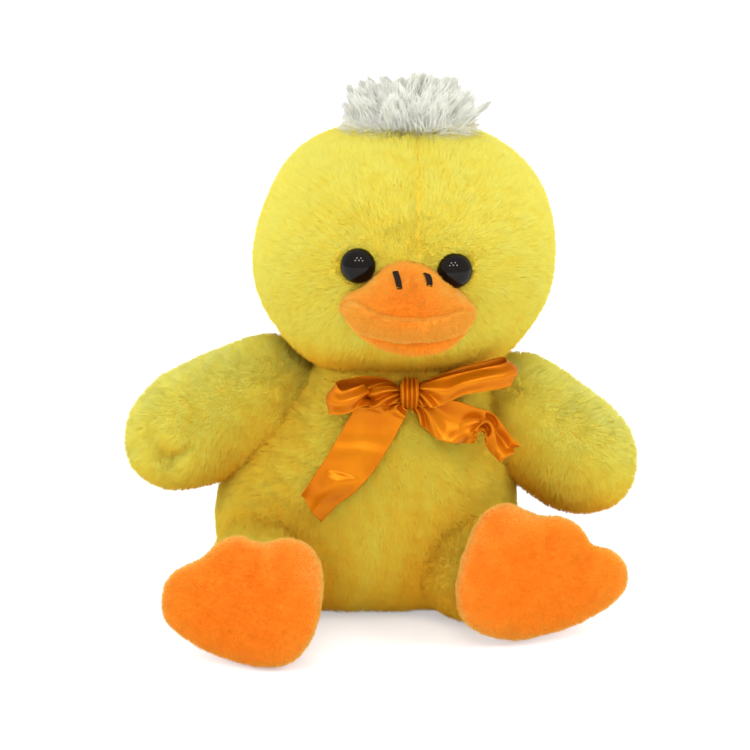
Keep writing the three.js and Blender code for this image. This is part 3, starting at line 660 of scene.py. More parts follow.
def fur(name, piece, density, length, radius, comb, materials, seed, tone, avoid=(), keep=everywhere,
        parts=1, slot="plush", rides=None, inside=1.6, reach=500.0, clump=1.9, gather=0.2, wander=20.0,
        patchy=0.38, lean=(0, 0, 0.3)):
    """Short strands combed over a skin and gathered in small locks. Returns the pieces.

    Strands go at most the given way inside the skins to avoid. The tone picks their colours.
    """
    rng = np.random.default_rng(seed)
    area = surface_of(piece)[2].sum()
    count = int(area * density * (1))
    places, normals = scatter(piece, count, rng, keep)
    free = np.ones(count, bool)
    for tree in avoid:
        free[free] = depth_in(tree, places[free], reach) < inside
    places, normals = places[free], normals[free]
    count = len(places)
    locks = rng.permutation(count)[:max(8, int(area / clump ** 2))]
    finder = KDTree(len(locks))
    for index, place in enumerate(places[locks]):
        finder.insert(place, index)
    finder.balance()
    lock = np.fromiter((finder.find(place)[1] for place in places), np.int64, count)
    flow = comb(places, normals)
    flow = unit(flow - (flow * normals).sum(1, keepdims=True) * normals)
    turn = np.radians(rng.normal(0, wander, count) + wander * smooth_noise(places, 8, seed + 1))
    flow = flow * np.cos(turn)[:, None] + np.cross(normals, flow) * np.sin(turn)[:, None]
    swell = smooth_noise(places, 3.2, seed + 2)
    long = length * (1 + 0.08 * swell + rng.normal(0, 0.06, count)).clip(0.6, 1.3)
    rise = (70 + 6 * smooth_noise(places, 5, seed + 3) + rng.normal(0, 6, count)).clip(20, 88)
    slant = np.radians(rise)[:, None]
    tips = places + (normals * np.sin(slant) + flow * np.cos(slant)) * long[:, None]
    pull = tips[locks][lock] - tips
    tips += pull * np.minimum(1, clump / np.maximum(norms(pull), 1e-6)) * gather
    roots = places - normals * ROOT_DEPTH
    for level in (roots, tips):
        level[:, 2] = np.maximum(level[:, 2], FLOOR_GAP)
    soft = unit(normals + unit(tips - roots) * 0.3 + np.array(lean) + rng.normal(0, 0.08, (count, 3)))
    thick = radius * rng.normal(1, 0.12, count).clip(0.7, 1.3)[:, None]
    patches = patchy * (smooth_noise(places, 11, seed + 4) - swell) + rng.normal(0, 0.28, count)
    shade = np.clip((tone(places, normals) + patches).round(), 0, len(materials) - 1).astype(int)
    pieces = []
    for part in range(parts):
        mine = np.arange(count) % parts == part
        pieces.append(strands(name if parts == 1 else f"{name}_{part + 1}", [roots[mine], tips[mine]],
                              [thick[mine]], shade[mine], soft[mine], rng, materials))
        if rides:
            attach(pieces[-1], rides)
    return pieces


def solid_line(points, radius, sides=8):
    """A closed tube along a line of points."""
    points = np.asarray(points, float)
    way = unit(np.gradient(points, axis=0))
    across = unit(np.cross(way, Y + 0.1 * X))
    up = np.cross(way, across)
    rings = [oval(point, a, u, radius, radius, 2, sides) for point, a, u in zip(points, across, up)]
    return loft(rings, points[0] - way[0] * radius * 0.6, points[-1] + way[-1] * radius * 0.6)


def merged(forms):
    points, faces, start = [], [], 0
    for some, more in forms:
        points.append(some)
        faces += [tuple(index + start for index in face) for face in more]
        start += len(some)
    return np.vstack(points), faces


# Bill

# Lines across the bill, from the duck's right corner to its left, read off the photograph's outline
BILL_TOP = (
    (-8.3, -45, 115.2), (-6, -46.1, 118.3), (-3.4, -46.7, 119.6), (-0.8, -47.3, 121.6),
    (2.4, -47.7, 124.5), (5.3, -47.7, 127), (8.5, -47.7, 128.3), (12.1, -47.7, 128.9), (16.9, -47.7, 128),
    (21.7, -47.6, 125.8), (25.4, -47.2, 122.8), (29.2, -46.4, 119.5), (31.9, -45.2, 115.9),
    (34.6, -43.6, 112.5))
BILL_FOLD = (
    (-7.3, -49.5, 116.4), (-4.7, -54, 119.2), (-1.8, -58, 118.9), (1.4, -61, 117.8), (5.3, -63.2, 116.8),
    (10.3, -64.6, 116.2), (15.9, -64.6, 115.8), (20.5, -63.6, 115.9), (25.3, -60.8, 116.3),
    (29.3, -57, 116.8), (32.3, -53, 115.9), (34.2, -49, 113.6))
BILL_LIP = (
    (-7.6, -49.5, 115.4), (-5.6, -54.5, 115.6), (-2.4, -59.5, 114.7), (1.1, -62.8, 113.6),
    (5.3, -65.2, 113), (10.3, -66.3, 112.8), (15.9, -66.2, 112.7), (20.8, -64.8, 112.8),
    (26, -61.6, 113.1), (30.3, -57, 113.7), (33, -52.5, 113.8), (34.5, -48.5, 112.8))
BILL_EDGE = (
    (-7.9, -48.5, 114.8), (-5.6, -52.5, 112.2), (-2.4, -57, 110.3), (1.1, -60.5, 110.1),
    (4.9, -62.8, 109.9), (10.4, -64, 109.5), (16, -63.8, 109.4), (21.2, -62.2, 109.4), (26.4, -59, 109.6),
    (30.7, -54.5, 110), (33, -50.5, 110.9), (34.4, -48, 112.3))
BILL_UNDER = (
    (-4.6, -48, 109.6), (-2.1, -51, 107.6), (0.8, -54, 106), (4.6, -56.8, 104.6), (10.4, -58.8, 103.2),
    (15.5, -59, 102.6), (20.1, -58, 102.8), (24.6, -55.8, 103.4), (27.2, -53, 104.6),
    (29.3, -50.4, 105.9), (31.6, -47.5, 108))


def row_across(row, places):
    """A row's point at each place across, held at its ends beyond them."""
    fine = curve_through(row, 400)
    return np.stack([places, *(np.interp(places, fine[:, 0], fine[:, axis]) for axis in (1, 2))], 1)


def bill_stations(middle, half_width, count):
    """Places across the bill, closer together at its corners, and how full it is at each."""
    angle = np.linspace(-math.pi / 2, math.pi / 2, count)
    return middle + half_width * np.sin(angle), np.cos(angle) ** 0.7


def bill_piece(name, profile, lip, sides):
    """A closed skin over profiles from corner to corner, paler where a point's share is in the lip: painted
    light on the lip.
    """
    rings = [curve_through(ring, sides, closed=True) for ring in profile]
    points, faces = loft(rings[1:-1], rings[0].mean(0), rings[-1].mean(0))
    slots = []
    for face in faces:
        side = [(index - 1) % sides for index in face if 0 < index < len(points) - 1]
        side = min(side) if max(side) - min(side) < sides / 2 else max(side)
        slots.append(int(lip[0] <= side / sides <= lip[1]))
    return new_piece(name, points, faces, [panel_velboa, lip_velboa_painted_light], slots)


def in_head(x, z, height, depth):
    """A place inside the head, at a height, and a depth behind where the head's front is at z."""
    return np.array([x, head_front(x, z) + depth, height])


places, fullness = bill_stations(13.2, 21.3, 34)
BILL_OFF = np.array([0, -0.62, 0.78])
profile = []
for x, full, top, fold, lip, edge in zip(places, fullness, *(
        row_across(row, places) for row in (BILL_TOP, BILL_FOLD, BILL_LIP, BILL_EDGE))):
    panel, off = fold - top, BILL_OFF * full
    profile.append([
        in_head(x, top[2] - 2, top[2] - 2 - 2 * full, 6), top + Y * 2, top + 0.9 * off,
        top + 0.3 * panel + 2.6 * off, top + 0.62 * panel + 2.5 * off, top + 0.88 * panel + off,
        fold - 0.55 * off, fold + (lip - fold) * 0.3 + (Z * 0.5 - Y * 1.5) * full,
        lip + (fold - lip) * 0.15 - Y * 0.9 * full, lip - Y * 0.4 * full,
        lip + (edge - lip) * 0.6 - Y * 0.6 * full, edge,
        np.array([x, (edge[1] + head_front(x, edge[2])) / 2, edge[2] + 0.4]),
        in_head(x, edge[2], edge[2] + 1.5, 6)])
# The lip, as shares of the way round a profile. No share reaches 1
UPPER_LIP, NO_LIP = (6.1 / 14, 12.2 / 14), (1, 1)
bill = {"upper": bill_piece("upper_beak_velboa", profile, UPPER_LIP, 70)}
places, fullness = bill_stations(13.4, 18.0, 26)
profile = []
for x, full, edge, under in zip(
        places, fullness, row_across(BILL_EDGE, places), row_across(BILL_UNDER, places)):
    lid = np.array([x, min(edge[1] + 3.5, under[1] + 1), edge[2] + 1.2])
    middle = (np.array([x, lid[1], edge[2]]) + under) / 2
    profile.append([
        in_head(x, edge[2], edge[2], 5), np.array([x, (lid[1] + head_front(x, edge[2])) / 2, lid[2]]), lid,
        middle - Y * 1.8 * full, under + (Z * 0.8 - Y * 0.6) * full, under + Y * 1.2,
        under + Y * 4 * full + Z * 0.1, in_head(x, under[2], under[2] + 1, 5)])
bill["lower"] = bill_piece("lower_beak_velboa", profile, NO_LIP, 48)
for part, piece in bill.items():
    inflate(piece, 0.5, growth=0.02, frames=12)
    smooth_out(piece, 2)
    subdivide(piece)
    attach(piece, "head")
    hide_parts(f"{part}_beak_cover", f"{part}_beak_stuffing")
    trees[f"{part}_beak"] = tree_of(piece)

# Eyes

EYE_RADIUS, EYE_HEIGHT, EYE_SINK = 5.8, 4.6, 0.4
EYES = {"right": on_head(-HEAD_HALF_WIDTH * 0.295, 6.6), "left": on_head(HEAD_HALF_WIDTH * 0.315, 4.4)}
for side, (point, facing) in EYES.items():
    across = unit(np.cross(facing, Z))
    up = np.cross(across, facing)
    rings = []
    for angle in np.radians(-60 + 150 * np.arange(18) / 18):
        middle = point + facing * (EYE_HEIGHT * math.sin(angle) - EYE_SINK)
        reach = EYE_RADIUS * math.cos(angle)
        rings.append(oval(middle, across, up, reach, reach, 2, 40))
    summit = point + facing * (EYE_HEIGHT - EYE_SINK)
    eye = new_piece(f"{side}_eye_dome", *loft(rings, rings[0].mean(0), summit), [eye_gloss])
    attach(eye, "head")
    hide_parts(f"{side}_eye", f"{side}_eye_washer")
    trees[f"{side}_eye"] = tree_of(eye)

# Fur

NECK_MIDDLE = np.array([10.2, -5.0, 81.7])
FACE = HEAD_CENTRE + np.array([1.5, -44.0, -10.0])
DENSITY, LONG, THICK = 9.0, 3.2, 0.17
furs = {}


def comb_head(places, normals):
    """Away from the bill, parted at the forehead seam, and in over the rims of the eyes and the bill."""
    flow = unit(places - FACE) + np.array([0, 0.2, -0.1])
    beside = places[:, 0] - SEAM_X
    parting = np.exp(-(beside / 2.2) ** 2) * (places[:, 2] > 128) * (places[:, 1] < 6)
    flow += (np.sign(beside) * parting)[:, None] * X * 0.8
    for point, _ in EYES.values():
        inward = point - places
        flow += unit(inward) * 2.4 * np.exp(-((norms(inward) - 6.5) / 2.2) ** 2)
    for name in ("upper_beak", "lower_beak"):
        beside = np.clip(1 + depth_in(trees[name], places, 2.5) / 2.5, 0, 1)
        flow += unit(FACE - places) * 2.4 * beside[:, None]
    return flow


def comb_down(places, normals):
    return np.tile([0.0, 0.0, -1.0], (len(places), 1)) + 0.25 * unit(places - [0, 0, 40.0]) * [1, 1, 0]


def comb_along(direction, down=0.35):
    return lambda places, normals: np.tile(direction - Z * down, (len(places), 1))


# Painted light and shade: paler where the fur faces up and at the sides, and painted shade, golden, under
# the chin and next to the torso and the wings. The seam term deepens the tone along the forehead seam.
def head_tone(places, normals):
    chin_shade = np.clip((104 - places[:, 2]) / 14, 0, 1.5)
    seam = np.exp(-((places[:, 0] - SEAM_X) / 1.0) ** 2) * (places[:, 2] > 132) * (places[:, 1] < 4)
    shaded = nearness(places, [trees["torso"], trees["right_wing"], trees["left_wing"]], 16)
    return (2.2 - 0.9 * normals[:, 2] - 0.8 * np.abs(normals[:, 0]) + 2.4 * chin_shade + 0.6 * seam
            + 2.0 * shaded)


# Painted light and shade: paler where the fur faces up and at the sides, and painted shade, golden, next to
# the head and the limbs and towards the seat.
def torso_tone(places, normals):
    shaded = nearness(places, [trees[name] for name in ("head",) + LIMBS], 20)
    low = np.clip((22 - places[:, 2]) / 22, 0, 1)
    return 3.4 - 0.7 * normals[:, 2] - 1.3 * np.abs(normals[:, 0]) + 2.6 * shaded + 0.9 * low


def limb_tone(shade_under, middle=1.7):
    """Painted shade, golden, next to the torso and the head and underneath, and painted light, paler, on top
    and at the sides.
    """
    def tone(places, normals):
        shaded = nearness(places, [trees["torso"], trees["head"]], 18)
        under = np.clip(0.2 - normals[:, 2], 0, 1)
        return middle - 1.0 * normals[:, 2] - 0.5 * np.abs(normals[:, 0]) + 2.6 * shaded + shade_under * under
    return tone


def clear_of_ribbon(middles):
    """The torso's skin without its seat, and without the band behind the neck where the ribbon lies."""
    off_band = (np.abs(middles[:, 2] - NECK_MIDDLE[2]) > 2.4) | (middles[:, 1] < 3)
    return (middles[:, 2] > 1.5) & off_band


def plush(part, comb, seed, tone, avoid, **more):
    """The long pile on a stuffed skin."""
    furs[part] = fur(f"{part}_fur", skins[part], DENSITY, LONG, THICK, comb, YELLOWS, seed, tone,
                     avoid=[trees[name] for name in avoid], **more)


plush("head", comb_head, 11, head_tone, ("upper_beak", "lower_beak", "right_eye", "left_eye"),
      parts=5, inside=0.6, reach=6.0, rides="head")
plush("torso", comb_down, 21, torso_tone, ("head",) + LIMBS,
      parts=5, wander=34.0, keep=clear_of_ribbon, rides="torso")
# Each wing's weight of painted shade underneath
for side, seed, shade_under in (("right", 31, 1.4), ("left", 41, 3.4)):
    plush(f"{side}_wing", comb_along(WINGS[side][1]), seed, limb_tone(shade_under), ("torso", "head"), parts=2)
# The legs take a deep golden middle tone, painted shade all over, besides the painted shade underneath
for side, seed in (("right", 51), ("left", 61)):
    root, ankle = LEGS[side]
    plush(f"{side}_leg", comb_along(unit(ankle - root), 0.2), seed, limb_tone(1.2, 3.4), ("torso",))
plush("tail", comb_along(TAIL_WAY, 0), 71, limb_tone(1.0), ("torso",), rides="torso")

# Nap and stitches on the bill

FOLD_LINE = row_across(BILL_FOLD, np.linspace(-8, 34.5, 60))


def comb_bill(places, normals):
    return unit(places - FACE) - Z * 0.6


def on_lip(places):
    """1 on the lip of the bill, paler with painted light, and 0 on its panels."""
    line = np.interp(places[:, 0], FOLD_LINE[:, 0], FOLD_LINE[:, 2])
    return (places[:, 2] < line - 0.2).astype(float)


def on_panels(places):
    return 1 - on_lip(places)


def bill_tone(middle):
    """A tone with painted rim light, paler where the bill turns away from the front, and painted shade,
    deeper, below a height of 118 mm.
    """
    def tone(places, normals):
        painted_rim_light = np.clip((0.55 + normals[:, 1]) / 0.4, 0, 1) * (normals[:, 2] < 0.75)
        return middle - 0.8 * painted_rim_light + 0.5 * (places[:, 2] < 118)
    return tone


def nap(name, piece, density, length, radius, comb, seed, tone, rides, **more):
    """A short orange nap."""
    fur(name, piece, density, length, radius, comb, ORANGES, seed, tone, slot="velboa",
        lean=(0, -0.5, 0.5), rides=rides, **more)


# The lip's nap is longer, its own, and its middle tone paler: painted light on the forward-facing lip
for name, part, length, radius, seed, middle, avoid, clump, gather, keep in (
        ("upper_beak_nap", "upper", 1.0, 0.09, 101, 0.9, ("head",), 1.2, 0.2, on_panels),
        ("lip_nap", "upper", 1.5, 0.1, 105, 0.6, ("head",), 1.4, 0.35, on_lip),
        ("lower_beak_nap", "lower", 1.2, 0.09, 111, 1.2, ("head", "upper_beak"), 1.2, 0.2, everywhere)):
    nap(name, bill[part], 10.0, length, radius, comb_bill, seed, bill_tone(middle), "head",
        avoid=[trees[name] for name in avoid], clump=clump, gather=gather, patchy=0.15, keep=keep)

# Each nostril is three threads, from one (place across, share of the way down to the fold) to another
for side, first, last in (("right", (8.9, 0.17), (10.3, 0.54)), ("left", (18.6, 0.16), (19.8, 0.42))):
    forms = []
    for offset in (-0.55, 0.0, 0.55):
        line = []
        for share in np.linspace(0, 1, 9):
            x = first[0] + (last[0] - first[0]) * share + offset
            down = first[1] + (last[1] - first[1]) * share
            spot = row_across(BILL_TOP, [x])[0] * (1 - down) + row_across(BILL_FOLD, [x])[0] * down
            hit, normal, _, _ = trees["upper_beak"].ray_cast(Vector(spot + BILL_OFF * 6), Vector(-BILL_OFF))
            arch = 1.5 * math.sin(math.pi * share) ** 0.4 - 0.3
            line.append(np.array(hit) + np.array(normal) * arch)
        forms.append(solid_line(line, 0.42))
    stitch = new_piece(f"{side}_nostril_thread", *merged(forms), [black_thread])
    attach(stitch, "head")
    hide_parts(f"{side}_nostril_stitch")

# Tuft

TUFT = np.array([13.9, -4.0, 165.8])
TUFT_REACH = np.array([18.8, 10.0, 8.0])
STRANDS_PER_LOCK = 84
mound = new_piece("tuft_mound", *wide_ball(TUFT, TUFT_REACH[0], TUFT_REACH[2], 2.2, 40, 20), [white_backing])
points = coordinates(mound)
points[:, 1] = TUFT[1] + (points[:, 1] - TUFT[1]) * TUFT_REACH[1] / TUFT_REACH[2]
set_coordinates(mound, points)
subdivide(mound)
rng = np.random.default_rng(201)
levels = [[] for _ in range(4)]
shade, soft = [], []
for _ in range(190):
    across, depth = rng.uniform(-1, 1), rng.uniform(-1, 1)
    if across ** 2 + depth ** 2 > 1:
        continue
    root = TUFT + TUFT_REACH * [across, depth, math.sqrt(1 - across ** 2 - depth ** 2)] * [0.88, 0.9, 0.9]
    way = unit(np.array([across * 0.5 + rng.normal(0, 0.2), depth * 0.8 + rng.normal(0, 0.16), 1.1]))
    spread = rng.normal(0, 1.5, (STRANDS_PER_LOCK, 3)) * [1, 1, 0.3]
    tip_spread = rng.normal(0, 0.8, (STRANDS_PER_LOCK, 3))
    droop = unit(np.array([way[0], way[1], 0]) + 1e-6) * rng.uniform(0.3, 2.2) - Z * 0.5
    long = rng.uniform(8.0, 12.2) * rng.normal(1, 0.08, (STRANDS_PER_LOCK, 1)) * (1 + 0.15 * across ** 2)
    for level, share in enumerate((0, 0.4, 0.75, 1)):
        levels[level].append(root + spread * (1 - share ** 1.5) + tip_spread * share
                             + way * long * share + droop * share ** 2)
    facing = np.tile(way * 0.4 + [across * 0.5, depth, 0.6], (STRANDS_PER_LOCK, 1))
    soft.append(unit(facing + rng.normal(0, 0.12, (STRANDS_PER_LOCK, 3))))
    shade.append(np.clip(rng.normal(0.8, 0.6, STRANDS_PER_LOCK).round(), 0, 2).astype(int))
tuft_pile = strands("tuft_pile", [np.vstack(level) for level in levels], [0.13, 0.11, 0.08],
                    np.concatenate(shade), np.vstack(soft), rng, WHITES)
for piece in (mound, tuft_pile):
    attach(piece, "head")
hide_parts("hair_tuft")


def comb_tuft(places, normals):
    return unit(places - TUFT) * [1, 1, 0.2] + Z * 0.9


def tuft_tone(places, normals):
    return 0.8 + 1.4 * np.clip(1.2 - (places[:, 2] - TUFT[2]) / 2, 0, 1)


def edge_tone(places, normals):
    return np.full(len(places), 1.2)


def tuft_foot(middles):
    return np.clip((TUFT[2] + 1.5 - middles[:, 2]) / 3, 0, 1)


fur("tuft_base_pile", mound, 9.0, 6.0, 0.15, comb_tuft, WHITES, 205, tuft_tone, avoid=[trees["head"]],
    slot="pile", rides="head", lean=(0, 0, 0.8))
# Yellow strands run up into the foot of the tuft
fur("tuft_edge_pile", mound, 7.0, 3.6, 0.15, comb_tuft, YELLOWS, 207, edge_tone, avoid=[trees["head"]],
    slot="pile", rides="head", lean=(0, 0, 0.5), keep=tuft_foot)

# Feet

FOOT_OUTLINES = {
    "right": (
        (-1.04, 0), (-0.9, 0.27), (-0.57, 0.46), (-0.33, 0.7), (-0.1, 0.77), (0.17, 0.7), (0.5, 0.8),
        (0.8, 0.7), (0.95, 0.38), (0.94, -0.08), (0.82, -0.45), (0.6, -0.72), (0.28, -0.8),
        (-0.12, -0.76), (-0.58, -0.62), (-0.99, -0.34)),
    "left": (
        (-0.42, 0.86), (0.02, 0.66), (0.33, 0.62), (0.56, 0.44), (0.68, 0.21), (0.94, 0.15), (1.14, -0.1),
        (1.1, -0.36), (0.84, -0.58), (0.41, -0.76), (-0.07, -0.85), (-0.48, -0.85), (-0.86, -0.7),
        (-1.06, -0.46), (-1.08, -0.1), (-0.96, 0.3), (-0.75, 0.7)),
}
FOOT_HALF_WIDTH, FOOT_HALF_THICKNESS, FOOT_TILT = 28.0, 9.0, math.radians(8)
FOOT_SPLAY = {"right": math.radians(-14), "left": math.radians(16)}


def foot_axes(side):
    """Across the foot, the way its sole faces, and up to its toes."""
    splay = FOOT_SPLAY[side]
    across = np.array([math.cos(splay), math.sin(splay), 0])
    facing = np.array([math.sin(splay) * math.cos(FOOT_TILT), -math.cos(splay) * math.cos(FOOT_TILT),
                       math.sin(FOOT_TILT)])
    return across, facing, np.cross(facing, across)


def foot_form(side, inset, count=14):
    """A cushion over the foot's outline, which is given as shares of its half width."""
    across, facing, up = foot_axes(side)
    middle = LEGS[side][1]
    outline = curve_through(FOOT_OUTLINES[side], 90, closed=True)
    half = FOOT_HALF_THICKNESS - inset
    rings = []
    for ring in range(1, count):
        angle = math.pi * (ring / count - 0.5)
        spread = bend(math.cos(angle), 2.4) * (FOOT_HALF_WIDTH - inset)
        centre = middle + facing * half * bend(math.sin(angle), 2.4)
        rings.append(centre + np.outer(outline[:, 0] * spread, across)
                     + np.outer(outline[:, 1] * spread, up))
    return loft(rings, middle - facing * half, middle + facing * half)


# Each crease is (one end, the other end, depth)
FOOT_CREASES = {
    "right": (
        ((-0.72, 0.12), (-0.9, -0.12), 1.1), ((0.15, 0.72), (0.2, 0.35), 1),
        ((-0.4, 0.6), (0.1, 0.62), 0.9), ((0.2, 0.6), (0.7, 0.62), 0.8)),
    "left": (
        ((0.14, 0.66), (0, 0.3), 1.6), ((0.74, 0.26), (0.42, 0.06), 1.6),
        ((-0.8, 0.5), (-0.86, -0.5), 0.8)),
}


def sew_foot(side, seed):
    """The foot with its toe creases and its nap."""
    across, facing, up = foot_axes(side)
    middle = LEGS[side][1]

    def rim(rest):
        """1 on the foot's edge, which stays where it is, and 0 on its two sides."""
        return np.clip(1.4 - np.abs((rest - middle) @ facing) / 1.2, 0, 1)

    foot = new_piece(f"{side}_foot_velboa", *foot_form(side, 0.9), [foot_velboa])
    remesh(foot, 2.0)
    smooth_out(foot, 3)
    inflate(foot, 1.6, rim, growth=0.02)
    smooth_out(foot, 4)
    subdivide(foot)
    for first, last, depth in FOOT_CREASES[side]:
        ends = [middle + facing * 8 + (across * a + up * b) * FOOT_HALF_WIDTH for a, b in (first, last)]
        crease(foot, depth, 3.4, *ends)
    points = coordinates(foot)
    points[:, 2] = np.maximum(points[:, 2], FLOOR_GAP)
    set_coordinates(foot, points)
    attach(foot, f"{side}_leg")
    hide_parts(f"{side}_foot_cover", f"{side}_foot_stuffing")

    def foot_tone(places, normals):
        """Deepest in the middle of the sole, with painted rim light: paler round the rim, most towards the
        top, and where the surface turns away from the sole's facing.
        """
        sideways = (places - middle) @ across / FOOT_HALF_WIDTH
        upwards = (places - middle) @ up / FOOT_HALF_WIDTH
        out = np.hypot(sideways, (upwards + 0.05) / 0.75)
        painted_rim_light = np.clip((out - 0.45) / 0.6, 0, 1) ** 1.5 * (0.7 + 0.9 * np.clip(upwards + 0.3, 0, 0.6))
        return 3.2 - 3.0 * painted_rim_light - 0.8 * np.clip((0.8 - np.abs(normals @ facing)) / 0.4, 0, 1)

    nap(f"{side}_foot_nap", foot, 13.0, 1.0, 0.09, comb_along(across * 0.6 - up, 0), seed, foot_tone,
        f"{side}_leg", clump=1.3, gather=0.12, patchy=0.12)


sew_foot("right", 91)
sew_foot("left", 81)

# Ribbon

RIBBON_WIDTH, RIBBON_THICKNESS = 16.0, 0.22

# Rows of (upper edge, lower edge, folds across) along the length of each ribbon piece
RIBBONS = {
    "left_loop": (
        ((16.9, -40.5, 87.2), (16.2, -40.5, 81.7), 4), ((20.5, -41.5, 88.7), (19.8, -42, 80.4), 2),
        ((25.4, -42, 90.5), (24.7, -43.5, 81.2), 1), ((31.9, -42, 92.1), (31.3, -44, 84.6), 1),
        ((38.5, -41.5, 93.5), (39.1, -43.8, 86.1), 1), ((43.4, -40.5, 94.2), (44.7, -42.8, 86.8), 1),
        ((45.8, -38.5, 94.7), (47.5, -40.5, 87.4), 1), ((44.6, -35.5, 95.4), (46.7, -36.5, 87.4), 1),
        ((38.8, -34, 93.6), (40.2, -35, 85.6), 1), ((33.2, -33.5, 92.1), (33.9, -34.5, 84.1), 1),
        ((28.9, -33.5, 90.7), (29.6, -34.5, 82.7), 1), ((24.2, -34.5, 89.1), (25, -35, 81.8), 1.6),
        ((19.9, -36, 87.6), (20, -36, 81.7), 3), ((17.3, -37, 86.2), (17, -37, 82), 4)),
    "right_loop": (
        ((10.7, -37.5, 85.3), (10.3, -37.5, 81.1), 4), ((6, -35.5, 88), (6, -36.5, 81.5), 2),
        ((-0.6, -34.5, 88.5), (-0.6, -36, 80.7), 1), ((-5.9, -35.5, 88.1), (-6.9, -37, 79.3), 1),
        ((-9.1, -38, 88), (-11.8, -39.5, 78), 1), ((-10.4, -41, 87.7), (-12.6, -42.5, 77.8), 1),
        ((-8.4, -43, 85.9), (-9.1, -44.5, 78.1), 1), ((-4.5, -43.2, 87.1), (-5.1, -45, 79.3), 1),
        ((-1.2, -41.5, 87.7), (-2.2, -42.5, 81.1), 1.4), ((0.1, -38.8, 85.3), (0.1, -39.2, 80.1), 2),
        ((2.7, -41.5, 86.8), (3.1, -42.5, 80.2), 1.6), ((6.7, -42.5, 87.4), (6.7, -43.5, 81.6), 2.4),
        ((10.3, -40.5, 86.2), (10, -40.5, 81.7), 4)),
    "right_tail": (
        ((9.3, -40, 81.2), (12.6, -40, 79.8), 4), ((3.4, -40.5, 80.7), (13, -40.5, 78.3), 2.6),
        ((-3.5, -41.5, 79.9), (12, -41.5, 75.8), 1.4), ((-6.5, -41.6, 75.8), (10, -41.8, 71.7), 1),
        ((-8.8, -42.2, 71.5), (7.4, -42.4, 67.1), 1), ((-11.5, -43.8, 67.2), (4.7, -44, 62.8), 1),
        ((-14.1, -44.8, 63), (1.7, -45, 58.6), 1), ((-16.8, -45, 58.9), (-1.9, -45.2, 54.1), 1),
        ((-19.4, -44.6, 54.6), (-5.9, -44.8, 50), 1), ((-22, -43.4, 50.2), (-10.2, -43.8, 46.6), 1),
        ((-22, -43.4, 50.2), (-15.5, -42.4, 40.2), 1)),
    "left_tail": (
        ((13.6, -40, 81.2), (13, -40, 79.7), 4), ((18.9, -41, 81.8), (15.9, -40.5, 76.5), 2.6),
        ((23.8, -41.5, 82.3), (18.9, -41.5, 71.7), 1.6), ((29.1, -41, 82), (23.9, -43, 69), 1),
        ((33.1, -40.5, 80.5), (28.1, -44, 68.3), 1), ((36.4, -40, 79.1), (32.2, -41.5, 67), 1.4),
        ((39.4, -39.4, 78.1), (35, -44.2, 70.4), 1.8), ((42.1, -38.8, 76.4), (37.6, -40.2, 71.1), 2.2),
        ((44.5, -38.6, 73.2), (39.7, -43.5, 69.2), 1.8), ((46.5, -38.6, 70.4), (41.5, -40, 63.2), 1.4),
        ((48.5, -38.6, 68), (44.1, -42, 61.1), 1.3), ((50.6, -38.4, 65.5), (47.5, -40, 62), 1.6)),
    "knot": (
        ((11.7, -35, 87), (16.3, -35, 87.1), 4), ((11.3, -38.5, 87.8), (16.6, -38.5, 88), 4),
        ((10.9, -42, 87.6), (16.7, -42, 87.8), 4), ((10.8, -44, 85.5), (16.8, -44, 85.6), 4),
        ((10.9, -43, 82.4), (16.7, -43, 82.4), 4), ((11.3, -40, 79.8), (16.4, -40, 79.7), 4),
        ((11.7, -36, 78.3), (16.3, -36, 78.3), 4)),
}
# Which way each piece's folds stand, how high they may be, and how it is held
FOLDS = {
    "left_loop": (-1, 2.6, "folded"), "right_loop": (-1, 2.2, "folded"), "right_tail": (1, 2, "hung"),
    "left_tail": (1, 2.4, "hung"), "knot": (1, 1.1, "gathered"), "neck_band": (-1, 1.6, "gathered"),
}
# The band goes round the neck, from one side of the knot to the other, gathered to a part of its width
NECK_HALF_WIDTH, NECK_HALF_DEPTH, BAND_HALF_HEIGHT = 26.8, 27.6, 2.3
RIBBONS["neck_band"] = []
for angle in np.radians(np.linspace(-84, 264, 29)):
    spot = NECK_MIDDLE + [NECK_HALF_WIDTH * math.cos(angle), NECK_HALF_DEPTH * math.sin(angle), 0]
    RIBBONS["neck_band"].append((spot + Z * BAND_HALF_HEIGHT, spot - Z * BAND_HALF_HEIGHT, 4))


def ribbon(name, rows, crown, deepest, steps=37):
    """A satin strip between two edges, crowned or gathered so that its width is all there."""
    lines = len(rows) * 10
    upper, lower, folds = (curve_through([np.atleast_1d(row[part]) for row in rows], lines)
                           for part in range(3))
    folds = folds[:, 0]
    middle = (upper + lower) / 2
    across = lower - upper
    chord = np.linalg.norm(across, axis=1)
    normal = unit(np.cross(unit(np.gradient(middle, axis=0)), across)) * crown
    height = np.minimum(np.sqrt(np.maximum(RIBBON_WIDTH ** 2 - chord ** 2, 0)) / (2 * folds), deepest)
    grid = []
    for t in np.linspace(0, 1, steps):
        wave = (1 - np.cos(2 * math.pi * folds * t)) / 2
        ripple = 0.12 * np.sin(np.linspace(0, 23, lines) + 5 * t)
        grid.append(upper + across * t + normal * (height * wave + ripple)[:, None])
    faces = [(a * steps + b, a * steps + b + 1, (a + 1) * steps + b + 1, (a + 1) * steps + b)
             for a in range(lines - 1) for b in range(steps - 1)]
    piece = new_piece(f"ribbon_{name}_satin", np.stack(grid, 1).reshape(-1, 3), faces, [satin])
    modify(piece, "SOLIDIFY", thickness=RIBBON_THICKNESS * MM, offset=0)
    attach(piece, "torso")
    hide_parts(f"ribbon_{name}")
    return piece, np.linalg.norm(np.diff(middle, axis=0), axis=1).sum()


for name, rows in RIBBONS.items():
    crown, deepest, held = FOLDS[name]
    piece, length = ribbon(name, rows, crown, deepest)

# What rides on what

